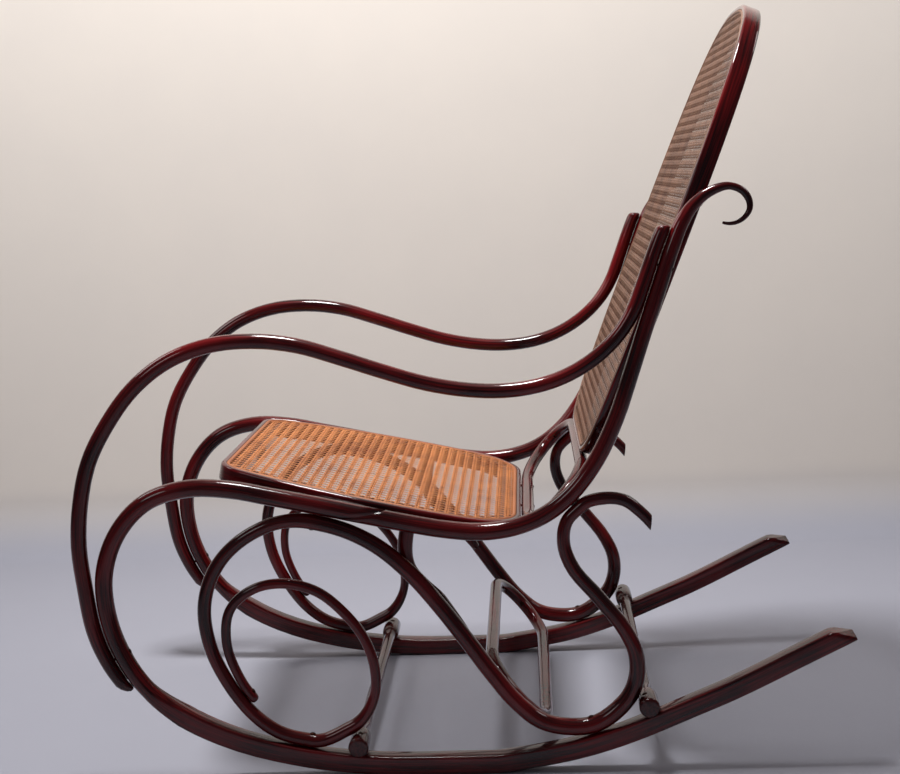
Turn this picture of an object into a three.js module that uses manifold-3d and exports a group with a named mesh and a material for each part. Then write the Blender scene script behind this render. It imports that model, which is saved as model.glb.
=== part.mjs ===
// Bentwood rocking chair: two side frames of bent rods, a caned seat and a tall caned back.
// Millimetres. X runs across the chair, Y from its front to its rear, Z up from the floor.
import * as THREE from "three";
import Module from "manifold-3d";

const wasm = await Module();
wasm.setup();

// Overall sizes that the shares of the side rods follow
const sideDepth = 1060;
const sideHeight = 800;
const sideSpacing = 530;

// Thickness of the bent rods
const runnerThickness = 26.5;
const loopThickness = 24;
const railThickness = 25;
const postTopThickness = 20.8;
const hookStartThickness = 19.5;
const hookCrownThickness = 10;
const hookTipThickness = 4;
const armThickness = 22;
const armLateThickness = 19.5;
const armEndThickness = 17.5;
const scrollThickness = 24;
const scrollTopThickness = 21.5;
const scrollLoopThickness = 19;
const scrollInnerThickness = 14.5;
const scrollTipThickness = 13.5;
const curlThickness = 17.5;
const curlEndThickness = 15.5;
const braceThickness = 21;
const braceTipThickness = 14;
const hoopThickness = 19;
const stretcherThickness = 17;
const stretcherEndThickness = 28;
const stretcherEndLength = 54;
const stretcherDomeLength = 4;
const stretcherOverhang = 23;
const rearStretcherGap = 1.8;
const slideRounds = 6;

// Cuts and clearances
const fitGap = 0.3;
const lapGap = 1.3;
const armPartGap = 3.2;
const armJoinGap = 9;
const loopRiseGap = 1.6;
const loopJoinGap = 10.2;
const diagonalPartGap = 2.5;
const diagonalJoinGap = 6.5;
const rearRiseGap = 10.6;
const rearJoinGap = 4.5;
const dropGap = 1.2;
const scarfLength = 60;
const tailCutLength = 28;
const curlCutLength = 16;
const mergeReach = 0.001;
const bowSag = 0.8;
const armCutLength = 6.2;

// Seat: a flat ring between the rails, its top a little above them
const seatFrontReach = 261;
const seatRearReach = 169;
const seatSideBow = 735;
const seatFrontCorner = 48;
const seatRearCorner = 90;
const seatFrameWidth = 32;
const seatFrameThickness = 25;
const seatRise = 4.5;
const seatScrewSpacing = 80;

// Back: a tall flat ring with an arched top, its front face a little ahead of the posts' middle lines
const backHeight = 667;
const backArchHeight = 331;
const backBowHeight = 241;
const backSideBow = 600;
const backBottomCorner = 112;
const backFrameWidth = 30;
const backFrameThickness = 25;
const backProudLow = 12.5;
const backProudHigh = 7.5;
const backLowReach = 200;
const backScrewDepth = 12;

// Groove, cord and cane sheet of the seat and the back
const frameEdge = 3;
const borderWidth = 7;
const grooveWidth = 6;
const grooveDepth = 5;
const splineCrown = 0.7;
const caneThickness = 1.8;
const caneHole = 32;
const caneStrand = 26;

// Hoops behind the seat and between the scrolls
const upperHoopSeatDepth = 6;
const upperHoopBackDepth = 8;
const upperHoopLowHalf = 115;
const upperHoopHighHalf = 155;
const lowerHoopCorner = 68;
const seatHoopScrewHalf = 70;
const backHoopScrewHalf = 90;

// Screws
const screwShank = 4;
const screwHead = 8.5;
const screwHeadHeight = 2.4;
const screwBite = 7;
const screwSink = 1.5;
const holeOverrun = 4;

// Steps and powers of the shapes
const ringTurn = THREE.MathUtils.degToRad(15);
const fineSteps = 4;
const cornerTurn = THREE.MathUtils.degToRad(18);
const hoopCornerSteps = 4;
const archSteps = 7;
const archPower = 2.8;
const screwSides = 6;
const stretcherSides = 12;

// Share of the half width that the corner of an octagon section takes
const roundCornerShare = 1 - Math.tan(Math.PI / 8);
const squareCornerShare = 0.16;
const screwCrownShare = 0.6;

// Middle lines of the side rods as [depth share, height share], the height over the resting runner
const tailShares = [
  [0.494, 0.2185], [0.44, 0.184], [0.338, 0.1187], [0.286, 0.09], [0.233, 0.061], [0.189, 0.04],
  [0.149, 0.0247], [0.113, 0.0148], [0.067, 0.005], [0.034, 0], [-0.061, 0], [-0.143, 0.0055],
  [-0.226, 0.0225], [-0.32, 0.061], [-0.37, 0.096],
];
const loopShares = [
  [-0.4146, 0.1437], [-0.445, 0.208], [-0.461, 0.279], [-0.4613, 0.354], [-0.4403, 0.423],
  [-0.4008, 0.4745], [-0.348, 0.4955], [-0.292, 0.492], [-0.237, 0.4765], [-0.184, 0.461],
];
const railFrontShare = [-0.237, 0.4765];
const railRearShare = [-0.066, 0.4247];
const railJointShare = [-0.123, 0.442];
const postShares = [
  [-0.066, 0.4247], [-0.02, 0.4125], [0.028, 0.406], [0.069, 0.412], [0.108, 0.431],
  [0.143, 0.466], [0.177, 0.524], [0.2025, 0.592], [0.2217, 0.663], [0.24, 0.734], [0.259, 0.804],
  [0.2775, 0.874],
];
const hookRiseShares = [[0.289, 0.91], [0.304, 0.939], [0.327, 0.961], [0.3505, 0.967]];
const hookCurlShares = [[0.368, 0.9535], [0.3728, 0.931], [0.3605, 0.9105], [0.339, 0.909]];
const armFootShares = [
  [-0.4375, 0.1425], [-0.4465, 0.161], [-0.463, 0.199], [-0.4695, 0.223], [-0.4765, 0.2455], [-0.4825, 0.28],
];
const armFootThicknessShares = [0.41, 0.86, 0.95, 0.98, 1, 1];
const armShares = [
  [-0.488, 0.325], [-0.492, 0.401], [-0.486, 0.475], [-0.471, 0.547], [-0.443, 0.612], [-0.407, 0.67],
  [-0.361, 0.714], [-0.308, 0.738], [-0.252, 0.743], [-0.196, 0.733], [-0.142, 0.71], [-0.089, 0.685],
  [-0.035, 0.662], [0.021, 0.648], [0.063, 0.645], [0.105, 0.651], [0.146, 0.669], [0.182, 0.698],
  [0.211, 0.736],
];
const armTopShares = [[0.231, 0.8], [0.246, 0.85], [0.253, 0.8755], [0.2633, 0.911]];
const armTopThicknessShares = [1.1, 1.05, 1.02, 1];
const spiralTipShare = [-0.2765, 0.1155];
const spiralScrewShare = [-0.2845, 0.1295];
const spiralShares = [
  [-0.2975, 0.1732], [-0.308, 0.2275], [-0.3, 0.284], [-0.27, 0.317], [-0.229, 0.326], [-0.188, 0.311],
  [-0.154, 0.273], [-0.129, 0.226], [-0.117, 0.172],
];
const scrollDropShares = [[-0.119, 0.124], [-0.151, 0.0672]];
const scrollFrontFootShare = [-0.203, 0.05];
const scrollLoopShares = [
  [-0.247, 0.063], [-0.276, 0.0925], [-0.294, 0.1215], [-0.309, 0.1535], [-0.33, 0.222],
  [-0.333, 0.297], [-0.311, 0.366], [-0.268, 0.414], [-0.229, 0.433],
];
const scrollTopShare = [-0.186, 0.44];
const diagonalShares = [
  [-0.149, 0.417], [-0.109, 0.389], [-0.067, 0.34], [-0.031, 0.282], [0.002, 0.221], [0.034, 0.159],
  [0.067, 0.103], [0.097, 0.071], [0.13, 0.06],
];
const scrollRearFootShare = [0.163, 0.063];
const scrollRearShares = [
  [0.197, 0.0915], [0.213, 0.118], [0.221, 0.1535], [0.219, 0.191], [0.208, 0.225],
  [0.174, 0.2865], [0.1397, 0.3465], [0.132, 0.382], [0.1365, 0.4185],
];
const curlJointShare = [0.157, 0.4455];
const curlShares = [[0.1835, 0.457], [0.211, 0.452], [0.229, 0.4335], [0.2434, 0.4125]];
const braceShares = [[-0.0745, 0.372], [-0.067, 0.335], [-0.05, 0.307]];
const braceFootShares = [[-0.031, 0.28], [0.002, 0.219]];
const frontStretcherShare = [-0.1412, 0.04];
const rearStretcherHeightShare = 0.095;
const seatMiddleShare = [-0.077, 0.4275];
const backLowShare = [0.2348, 0.734];
const backHighShare = [0.2705, 0.86];
const lowerHoopHighShare = [0.033, 0.157];
const lowerHoopLowShare = [0.103, 0.0485];

const wood = { color: 0x4a1512, roughness: 0.25, metalness: 0 };
const caneHoney = { color: 0xb5793a, roughness: 0.6, metalness: 0 };
const caneBrown = { color: 0x8d6f50, roughness: 0.65, metalness: 0 };
const splineBrown = { color: 0x7a4a2c, roughness: 0.6, metalness: 0 };
const brass = { color: 0x9c8350, roughness: 0.35, metalness: 1 };

const X = new THREE.Vector3(1, 0, 0);
const Y = new THREE.Vector3(0, 1, 0);
const Z = new THREE.Vector3(0, 0, 1);
const flat = (a, b) => new THREE.Vector2(a, b);

// Solids

// A closed solid from its corners and triangles, turned to face out.
function solidFrom(corners, triangles) {
  let volume = 0;
  for (const [a, b, c] of triangles) {
    volume += corners[a].dot(new THREE.Vector3().crossVectors(corners[b], corners[c]));
  }
  const facing = volume < 0 ? triangles.map(([a, b, c]) => [a, c, b]) : triangles;
  const mesh = new wasm.Mesh({
    numProp: 3,
    vertProperties: new Float32Array(corners.flatMap((corner) => corner.toArray())),
    triVerts: new Uint32Array(facing.flat()),
  });
  return new wasm.Manifold(mesh);
}

// Rings of corners joined into a tube, closed on itself or capped by a fan at each end.
function loft(rings, middles, closed) {
  const sides = rings[0].length;
  const corners = rings.flat();
  const triangles = [];
  const spans = closed ? rings.length : rings.length - 1;
  for (let i = 0; i < spans; i += 1) {
    const here = i * sides;
    const next = ((i + 1) % rings.length) * sides;
    for (let j = 0; j < sides; j += 1) {
      const k = (j + 1) % sides;
      triangles.push([here + j, next + j, next + k], [here + j, next + k, here + k]);
    }
  }
  if (!closed) {
    const last = (rings.length - 1) * sides;
    const startMiddle = corners.push(middles[0]) - 1;
    const endMiddle = corners.push(middles[middles.length - 1]) - 1;
    for (let j = 0; j < sides; j += 1) {
      const k = (j + 1) % sides;
      triangles.push([startMiddle, j, k], [endMiddle, last + k, last + j]);
    }
  }
  return solidFrom(corners, triangles);
}

// A solid from a three.js geometry moved by a matrix.
function solidOf(geometry, matrix) {
  const position = geometry.getAttribute("position");
  const seen = new Map();
  const corners = [];
  const indexOf = [];
  for (let i = 0; i < position.count; i += 1) {
    const corner = new THREE.Vector3().fromBufferAttribute(position, i);
    const key = corner.toArray().map((value) => Math.round(value / mergeReach)).join();
    if (!seen.has(key)) {
      seen.set(key, corners.push(corner.applyMatrix4(matrix)) - 1);
    }
    indexOf.push(seen.get(key));
  }
  const order = geometry.index ? [...geometry.index.array] : indexOf.map((_, i) => i);
  const triangles = [];
  for (let i = 0; i < order.length; i += 3) {
    const triangle = [indexOf[order[i]], indexOf[order[i + 1]], indexOf[order[i + 2]]];
    if (new Set(triangle).size === 3) {
      triangles.push(triangle);
    }
  }
  return solidFrom(corners, triangles);
}

// Paths in a plane

function headingOf(before, here, after) {
  const back = here.clone().sub(before);
  const ahead = after.clone().sub(here);
  const ratio = ahead.length() / back.length();
  return back.multiplyScalar(ratio).addScaledVector(ahead, 1 / ratio).normalize();
}

// The heading at an open end, as an arc through the chord to its neighbour would have it.
function endHeading(end, neighbour, neighbourHeading) {
  const chord = neighbour.clone().sub(end).normalize();
  return chord.clone().multiplyScalar(2 * chord.dot(neighbourHeading)).sub(neighbourHeading).normalize();
}

function headings(knots, closed) {
  const count = knots.length;
  const found = knots.map((knot, i) => {
    if (knot.heading) {
      return knot.heading.clone();
    }
    if (!closed && (i === 0 || i === count - 1)) {
      return null;
    }
    return headingOf(knots[(i + count - 1) % count].point, knot.point, knots[(i + 1) % count].point);
  });
  if (!found[0]) {
    found[0] = endHeading(knots[0].point, knots[1].point, found[1]);
  }
  if (!found[count - 1]) {
    const before = found[count - 2].clone().negate();
    found[count - 1] = endHeading(knots[count - 1].point, knots[count - 2].point, before).negate();
  }
  return found;
}

// A smooth curve through knots that hold a point, a thickness, a corner share and perhaps a heading.
function smoothPath(knots, closed = false) {
  const heads = headings(knots, closed);
  const samples = [];
  const spans = closed ? knots.length : knots.length - 1;
  for (let i = 0; i < spans; i += 1) {
    const start = knots[i];
    const end = knots[(i + 1) % knots.length];
    const startHeading = heads[i];
    const endHeadingHere = heads[(i + 1) % knots.length];
    const chord = start.point.distanceTo(end.point);
    const turn = Math.abs(startHeading.angleTo(endHeadingHere));
    const steps = Math.max(1, Math.ceil(turn / ringTurn)) * fineSteps;
    for (let j = i === 0 ? 0 : 1; j <= steps; j += 1) {
      const u = j / steps;
      const spline = [(1 + 2 * u) * (1 - u) ** 2, u * (1 - u) ** 2, u * u * (3 - 2 * u), u * u * (u - 1)];
      const slope = [6 * u * (u - 1), (1 - u) * (1 - 3 * u), 6 * u * (1 - u), u * (3 * u - 2)];
      const mixed = (weights) => start.point.clone().multiplyScalar(weights[0])
        .addScaledVector(startHeading, weights[1] * chord)
        .addScaledVector(end.point, weights[2])
        .addScaledVector(endHeadingHere, weights[3] * chord);
      samples.push({
        point: mixed(spline),
        heading: mixed(slope).normalize(),
        thickness: THREE.MathUtils.lerp(start.thickness, end.thickness, u),
        corner: THREE.MathUtils.lerp(start.corner, end.corner, u),
        ring: j % fineSteps === 0,
      });
    }
  }
  if (closed) {
    samples.pop();
  }
  return samples;
}

const sideways = (heading) => flat(-heading.y, heading.x);

// An octagon section swept along a path that lies in the plane of the origin and two axes.
function rod(path, plane, cuts = {}) {
  const across = new THREE.Vector3().crossVectors(plane.first, plane.second);
  const lift = (point) => plane.origin.clone()
    .addScaledVector(plane.first, point.x)
    .addScaledVector(plane.second, point.y);
  const kept = path.filter((sample) => sample.ring);
  const rings = kept.map((sample, i) => {
    const half = sample.thickness / 2;
    const inner = half * (1 - sample.corner);
    const section = [
      [half, inner], [inner, half], [-inner, half], [-half, inner],
      [-half, -inner], [-inner, -half], [inner, -half], [half, -inner],
    ];
    const cut = (i === 0 && cuts.start) || (i === kept.length - 1 && cuts.end) || (() => 0);
    const normal = sideways(sample.heading);
    return section.map(([out, side]) => {
      const point = sample.point.clone().addScaledVector(normal, out);
      return lift(point.addScaledVector(sample.heading, cut(out))).addScaledVector(across, side);
    });
  });
  return loft(rings, kept.map((sample) => lift(sample.point)), cuts.closed);
}

// Named solids, cut by the screws before they become meshes

const pieces = new Map();

function keep(name, solid, look) {
  pieces.set(name, { solid, look });
}

function screwProfile(length) {
  const shank = screwShank / 2;
  const head = screwHead / 2;
  return [
    flat(0, -length), flat(shank, -length), flat(shank, 0), flat(head, 0),
    flat(head * screwCrownShare, screwHeadHeight), flat(0, screwHeadHeight),
  ];
}

function holeProfile(length) {
  const shank = screwShank / 2 + fitGap;
  const head = screwHead / 2 + fitGap;
  return [
    flat(0, -length - fitGap), flat(shank, -length - fitGap), flat(shank, -fitGap), flat(head, -fitGap),
    flat(head, holeOverrun), flat(0, holeOverrun),
  ];
}

// A screw whose head sinks into the surface at a point; its shank runs through the grip and bites beyond it.
function fasten(name, point, direction, grip, throughNames) {
  const turn = new THREE.Quaternion().setFromUnitVectors(Y, direction.clone().normalize().negate());
  const seat = point.clone().addScaledVector(direction, screwSink);
  const matrix = new THREE.Matrix4().compose(seat, turn, new THREE.Vector3(1, 1, 1));
  const length = grip + screwBite - screwSink;
  keep(name, solidOf(new THREE.LatheGeometry(screwProfile(length), screwSides), matrix), brass);
  const hole = solidOf(new THREE.LatheGeometry(holeProfile(length), screwSides), matrix);
  for (const through of throughNames) {
    const piece = pieces.get(through);
    piece.solid = piece.solid.subtract(hole);
  }
}

// Side frames

const restHeight = runnerThickness / 2;
const placed = ([depthShare, heightShare]) => (
  flat(depthShare * sideDepth, restHeight + heightShare * sideHeight)
);

// Knots through a table of shares, the thickness and the corners changing evenly from first to last.
function row(shares, from, to, fromCorner = roundCornerShare, toCorner = roundCornerShare) {
  return shares.map((share, i) => {
    const way = shares.length > 1 ? i / (shares.length - 1) : 0;
    return {
      point: placed(share),
      thickness: THREE.MathUtils.lerp(from, to, way),
      corner: THREE.MathUtils.lerp(fromCorner, toCorner, way),
    };
  });
}

// The sample of a path that lies nearest to a point.
function nearest(path, point) {
  return path.reduce((best, sample) => (
    sample.point.distanceTo(point) < best.point.distanceTo(point) ? sample : best
  ));
}

// The place on the straight runs between a path's rings that lies nearest to a point.
function nearestRun(path, point) {
  const rings = path.filter((sample) => sample.ring);
  const places = rings.slice(1).map((end, i) => {
    const start = rings[i];
    const run = end.point.clone().sub(start.point);
    const way = THREE.MathUtils.clamp(point.clone().sub(start.point).dot(run) / run.lengthSq(), 0, 1);
    return {
      point: start.point.clone().addScaledVector(run, way),
      heading: run.normalize(),
      thickness: THREE.MathUtils.lerp(start.thickness, end.thickness, way),
    };
  });
  return nearest(places, point);
}

// A knot that lies on a side of its host rod, with the host's heading or the opposite one.
function touchingAt(host, place, side, sense, thickness, gap = fitGap) {
  const at = nearestRun(host, place);
  const away = sideways(at.heading).multiplyScalar(side);
  const reach = (at.thickness + thickness) / 2 + gap;
  return {
    point: at.point.clone().addScaledVector(away, reach),
    heading: at.heading.clone().multiplyScalar(sense),
    thickness,
    corner: roundCornerShare,
    host: at,
    away,
  };
}

const touching = (host, share, ...rest) => touchingAt(host, placed(share), ...rest);

// A knot of a row, moved to a named clearance beside its host rod.
const eased = (knot, host, side, gap) => (
  { ...knot, point: touchingAt(host, knot.point, side, 1, knot.thickness, gap).point }
);

function easeFirst(knots, host, side, gap) {
  knots[0] = eased(knots[0], host, side, gap);
}

function easeLast(knots, host, side, gap) {
  knots[knots.length - 1] = eased(knots[knots.length - 1], host, side, gap);
}

// The runner's rod and the post's rod meet in the rail with one heading, where a slanted cut joins them.
const railHeading = placed(railRearShare).sub(placed(railFrontShare)).normalize();
const railJoint = { ...row([railJointShare], railThickness, railThickness)[0], heading: railHeading };
const runnerPath = smoothPath([
  ...row(tailShares, runnerThickness, runnerThickness, squareCornerShare, squareCornerShare),
  ...row(loopShares, loopThickness, railThickness),
  railJoint,
]);
const postPath = smoothPath([
  railJoint,
  ...row(postShares, railThickness, postTopThickness),
  ...row(hookRiseShares, hookStartThickness, hookCrownThickness),
  ...row(hookCurlShares, hookCrownThickness, hookTipThickness),
]);
const armFeet = armFootShares.map((share, i) => (
  touching(runnerPath, share, 1, 1, armThickness * armFootThicknessShares[i], lapGap)
));
const armTops = armTopShares.map((share, i) => (
  touching(postPath, share, 1, 1, armEndThickness * armTopThicknessShares[i], lapGap)
));
const armKnots = row(armShares, armThickness, armLateThickness);
easeFirst(armKnots, runnerPath, 1, armPartGap);
easeLast(armKnots, postPath, 1, armJoinGap);
const armPath = smoothPath([...armFeet, ...armKnots, ...armTops]);

const frontStretcherRest = touching(runnerPath, frontStretcherShare, -1, 1, stretcherEndThickness);

const scrollFrontFoot = touching(runnerPath, scrollFrontFootShare, -1, 1, scrollLoopThickness);
const scrollTop = touching(runnerPath, scrollTopShare, -1, 1, scrollTopThickness);
const scrollRearFoot = touching(runnerPath, scrollRearFootShare, -1, -1, scrollThickness);
const curlJoint = touching(postPath, curlJointShare, -1, 1, curlThickness, lapGap);
const loopKnots = row(scrollLoopShares, scrollLoopThickness, scrollLoopThickness);
easeFirst(loopKnots, runnerPath, -1, loopRiseGap);
easeLast(loopKnots, runnerPath, -1, loopJoinGap);
const diagonalKnots = row(diagonalShares, scrollTopThickness, scrollThickness);
easeFirst(diagonalKnots, runnerPath, -1, diagonalPartGap);
easeLast(diagonalKnots, runnerPath, -1, diagonalJoinGap);
const rearKnots = row(scrollRearShares, scrollThickness, curlThickness);
easeFirst(rearKnots, runnerPath, -1, rearRiseGap);
easeLast(rearKnots, postPath, -1, rearJoinGap);
const scrollOuterKnots = [
  scrollFrontFoot,
  ...loopKnots,
  scrollTop,
  ...diagonalKnots,
  scrollRearFoot,
  ...rearKnots,
  curlJoint,
  ...row(curlShares, curlThickness, curlEndThickness),
];
const scrollOuterPath = smoothPath(scrollOuterKnots);
const spiralTip = touching(scrollOuterPath, spiralTipShare, -1, 1, scrollTipThickness);
const spiralJoint = touching(scrollOuterPath, spiralScrewShare, -1, 1, scrollTipThickness);

// The spiral comes down past the end of the front stretcher and bends round it.
const [dropStart, dropBend] = row(scrollDropShares, scrollInnerThickness, scrollLoopThickness);
const bendAway = dropBend.point.clone().sub(frontStretcherRest.point).normalize();
const bendReach = (stretcherEndThickness + dropBend.thickness) / 2 + dropGap;
const bendKnot = {
  ...dropBend,
  point: frontStretcherRest.point.clone().addScaledVector(bendAway, bendReach),
  heading: sideways(bendAway),
};
const scrollPath = smoothPath([
  spiralTip,
  spiralJoint,
  ...row(spiralShares, scrollTipThickness, scrollInnerThickness),
  dropStart,
  bendKnot,
  ...scrollOuterKnots,
]);

const braceFeet = braceFootShares.map((share, i) => {
  const at = nearest(scrollOuterPath, placed(share));
  const thickness = i === 0 ? braceThickness : braceTipThickness;
  return { point: at.point, heading: at.heading, thickness, corner: roundCornerShare };
});

const scarfSlant = scarfLength / railThickness;
const scarf = (out) => out * scarfSlant;
const scarfGap = fitGap * Math.hypot(1, scarfSlant);
const tailCut = (out) => Math.max(0, -out) * (2 * tailCutLength / runnerThickness);
const curlCut = (out) => -out * (curlCutLength / curlEndThickness);
const armCut = (out) => -out * (armCutLength / armEndThickness);

const postJoint = postPath[0];
const laidPost = [
  { ...postJoint, point: postJoint.point.clone().addScaledVector(postJoint.heading, scarfGap) },
  ...postPath.slice(1),
];

const sides = [
  { side: "left", sign: 1 },
  { side: "right", sign: -1 },
];
const sidePlane = (x) => ({ origin: X.clone().multiplyScalar(x), first: Y, second: Z });
const inSide = (x, point) => new THREE.Vector3(x, point.x, point.y);
const asDirection = (direction) => new THREE.Vector3(0, direction.x, direction.y);

// Seat

const seatMiddle = nearest(postPath.concat(runnerPath), placed(seatMiddleShare));
const seatAlong = asDirection(seatMiddle.heading);
const seatUp = new THREE.Vector3().crossVectors(X, seatAlong);
const seatPlane = {
  origin: asDirection(seatMiddle.point).addScaledVector(seatUp, railThickness / 2 + seatRise),
  first: X,
  second: seatAlong,
  up: seatUp,
};
const frameHalfWidth = sideSpacing / 2 - railThickness / 2 - fitGap;

// Points and outward normals along an arc.
function arcPoints(centre, radius, from, to) {
  const finest = 2 * Math.acos(1 - bowSag / radius);
  const steps = Math.max(2, Math.ceil(Math.abs(to - from) / Math.min(cornerTurn, finest)));
  const points = [];
  for (let i = 0; i <= steps; i += 1) {
    const angle = THREE.MathUtils.lerp(from, to, i / steps);
    const normal = flat(Math.cos(angle), Math.sin(angle));
    points.push({ point: centre.clone().addScaledVector(normal, radius), normal });
  }
  return points;
}

// Half of an outline, completed by its mirror image across the chair's middle plane.
function bothHalves(half) {
  const mirrored = [...half].reverse().map(({ point, normal }) => ({
    point: flat(-point.x, point.y),
    normal: flat(-normal.x, normal.y),
  }));
  return [...half, ...mirrored].filter((entry, i, all) => (
    entry.point.distanceTo(all[(i + 1) % all.length].point) > fitGap
  ));
}

// The corner arc that joins a straight edge at a depth to a bowed side.
function bowCorner(bow, edge, corner) {
  const inward = edge - Math.sign(edge) * corner;
  const centreX = frameHalfWidth - bow + Math.sqrt((bow - corner) ** 2 - inward ** 2);
  const meeting = Math.atan2(inward, centreX - (frameHalfWidth - bow));
  return { centre: flat(centreX, inward), meeting };
}

const quarterTurn = Math.PI / 2;
const seatFrontArc = bowCorner(seatSideBow, -seatFrontReach, seatFrontCorner);
const seatRearArc = bowCorner(seatSideBow, seatRearReach, seatRearCorner);
const seatSideCentre = flat(frameHalfWidth - seatSideBow, 0);
const seatOutline = bothHalves([
  ...arcPoints(seatFrontArc.centre, seatFrontCorner, -quarterTurn, seatFrontArc.meeting),
  ...arcPoints(seatSideCentre, seatSideBow, seatFrontArc.meeting, seatRearArc.meeting).slice(1, -1),
  ...arcPoints(seatRearArc.centre, seatRearCorner, seatRearArc.meeting, quarterTurn),
]);

// Back

const backLow = nearest(postPath, placed(backLowShare));
const backHigh = nearest(postPath, placed(backHighShare));
const postRun = asDirection(backHigh.point.clone().sub(backLow.point));
const backSpan = postRun.length();
const proudTurn = Math.asin((backProudLow - backProudHigh) / backSpan);
const backUp = postRun.clone().normalize().applyAxisAngle(X, -proudTurn);
const backFront = new THREE.Vector3().crossVectors(X, backUp);
const backPlane = {
  origin: asDirection(backLow.point)
    .addScaledVector(backFront, backProudLow)
    .addScaledVector(backUp, -backLowReach),
  first: X,
  second: backUp,
  up: backFront,
};

// The arched top as a curve between an ellipse and a box, from the sides to the crown.
function archPoints() {
  const springing = backHeight - backArchHeight;
  const points = [];
  for (let i = 1; i <= archSteps; i += 1) {
    const angle = quarterTurn * i / archSteps;
    const acrossShare = Math.cos(angle) ** (2 / archPower);
    const upShare = Math.sin(angle) ** (2 / archPower);
    const normal = flat(
      acrossShare ** (archPower - 1) / frameHalfWidth,
      upShare ** (archPower - 1) / backArchHeight,
    ).normalize();
    points.push({ point: flat(frameHalfWidth * acrossShare, springing + backArchHeight * upShare), normal });
  }
  return points;
}

const backBottomArc = bowCorner(backSideBow, -backBowHeight, backBottomCorner);
const backBottomCentre = backBottomArc.centre.clone().add(flat(0, backBowHeight));
const backSideCentre = flat(frameHalfWidth - backSideBow, backBowHeight);
const backOutline = bothHalves([
  ...arcPoints(backBottomCentre, backBottomCorner, -quarterTurn, backBottomArc.meeting),
  ...arcPoints(backSideCentre, backSideBow, backBottomArc.meeting, 0).slice(1),
  { point: flat(frameHalfWidth, backHeight - backArchHeight), normal: flat(1, 0) },
  ...archPoints(),
]);

// Rings, cords and cane sheets

const inPlane = (plane, point, height) => plane.origin.clone()
  .addScaledVector(plane.first, point.x)
  .addScaledVector(plane.second, point.y)
  .addScaledVector(plane.up, height);

const inset = ({ point, normal }, amount) => point.clone().addScaledVector(normal, -amount);

// How far out an inset outline reaches across the chair at a place along it.
function reachAcross(outline, amount, along) {
  const corners = outline.map((entry) => inset(entry, amount));
  const reaches = corners.map((a, i) => {
    const b = corners[(i + 1) % corners.length];
    const crosses = (a.y > along) !== (b.y > along);
    return crosses ? a.x + (b.x - a.x) * (along - a.y) / (b.y - a.y) : 0;
  });
  return Math.max(...reaches);
}

// A section of [inset, height] corners swept round an outline.
function ringSolid(outline, plane, section) {
  const rings = outline.map((entry) => (
    section.map(([amount, height]) => inPlane(plane, inset(entry, amount), height))
  ));
  return loft(rings, [], true);
}

const caneBed = caneThickness + fitGap;
const grooveEnd = borderWidth + grooveWidth;

function frameSection(width, thickness) {
  return [
    [0, frameEdge - thickness], [0, -frameEdge], [frameEdge, 0], [borderWidth, 0],
    [borderWidth, -grooveDepth], [grooveEnd, -grooveDepth], [grooveEnd, -caneBed], [width, -caneBed],
    [width, frameEdge - thickness], [width - frameEdge, -thickness], [frameEdge, -thickness],
  ];
}

const splineSection = [
  [borderWidth + fitGap, fitGap - grooveDepth], [borderWidth + fitGap, 0],
  [borderWidth + grooveWidth / 2, splineCrown],
  [grooveEnd - fitGap, 0], [grooveEnd - fitGap, fitGap - grooveDepth],
];

function insideOutline(corners, point) {
  let inside = false;
  corners.forEach((a, i) => {
    const b = corners[(i + 1) % corners.length];
    if ((a.y > point.y) !== (b.y > point.y) && point.x < a.x + (b.x - a.x) * (point.y - a.y) / (b.y - a.y)) {
      inside = !inside;
    }
  });
  return inside;
}

// The cane sheet as a flat net: its outline meets the cord and its holes stay inside the frame.
function caneSolid(outline, plane, frameWidth) {
  const shape = new THREE.Shape(outline.map((entry) => inset(entry, grooveEnd)));
  const basis = new THREE.Matrix4().makeBasis(plane.first, plane.second, plane.up);
  const sheet = new THREE.ExtrudeGeometry(shape, { depth: caneThickness, bevelEnabled: false });
  const bed = inPlane(plane, flat(0, 0), -caneThickness);
  const opening = outline.map((entry) => inset(entry, frameWidth));
  const pitch = caneHole + caneStrand;
  const box = new THREE.Box2().setFromPoints(opening);
  const middle = box.getCenter(flat(0, 0));
  const size = box.getSize(flat(0, 0));
  const columns = Math.floor((size.x + caneStrand) / pitch);
  const rows = Math.floor((size.y + caneStrand) / pitch);
  const half = caneHole / 2;
  const cutter = new THREE.BoxGeometry(caneHole, caneHole, caneThickness + 2 * holeOverrun);
  const holes = [];
  for (let i = 0; i < columns; i += 1) {
    for (let j = 0; j < rows; j += 1) {
      const spot = flat(middle.x + (i - (columns - 1) / 2) * pitch, middle.y + (j - (rows - 1) / 2) * pitch);
      const corners = [flat(-half, -half), flat(half, -half), flat(half, half), flat(-half, half)];
      if (corners.every((corner) => insideOutline(opening, corner.add(spot)))) {
        holes.push(solidOf(cutter, basis.clone().setPosition(inPlane(plane, spot, 0))));
      }
    }
  }
  return solidOf(sheet, basis.clone().setPosition(bed)).subtract(wasm.Manifold.union(holes));
}

keep("seat_frame", ringSolid(seatOutline, seatPlane, frameSection(seatFrameWidth, seatFrameThickness)), wood);
keep("seat_cane", caneSolid(seatOutline, seatPlane, seatFrameWidth), caneHoney);
keep("seat_spline", ringSolid(seatOutline, seatPlane, splineSection), splineBrown);
keep("back_frame", ringSolid(backOutline, backPlane, frameSection(backFrameWidth, backFrameThickness)), wood);
keep("back_cane", caneSolid(backOutline, backPlane, backFrameWidth), caneBrown);
keep("back_spline", ringSolid(backOutline, backPlane, splineSection), splineBrown);

// Side rods, braces and their screws

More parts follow.
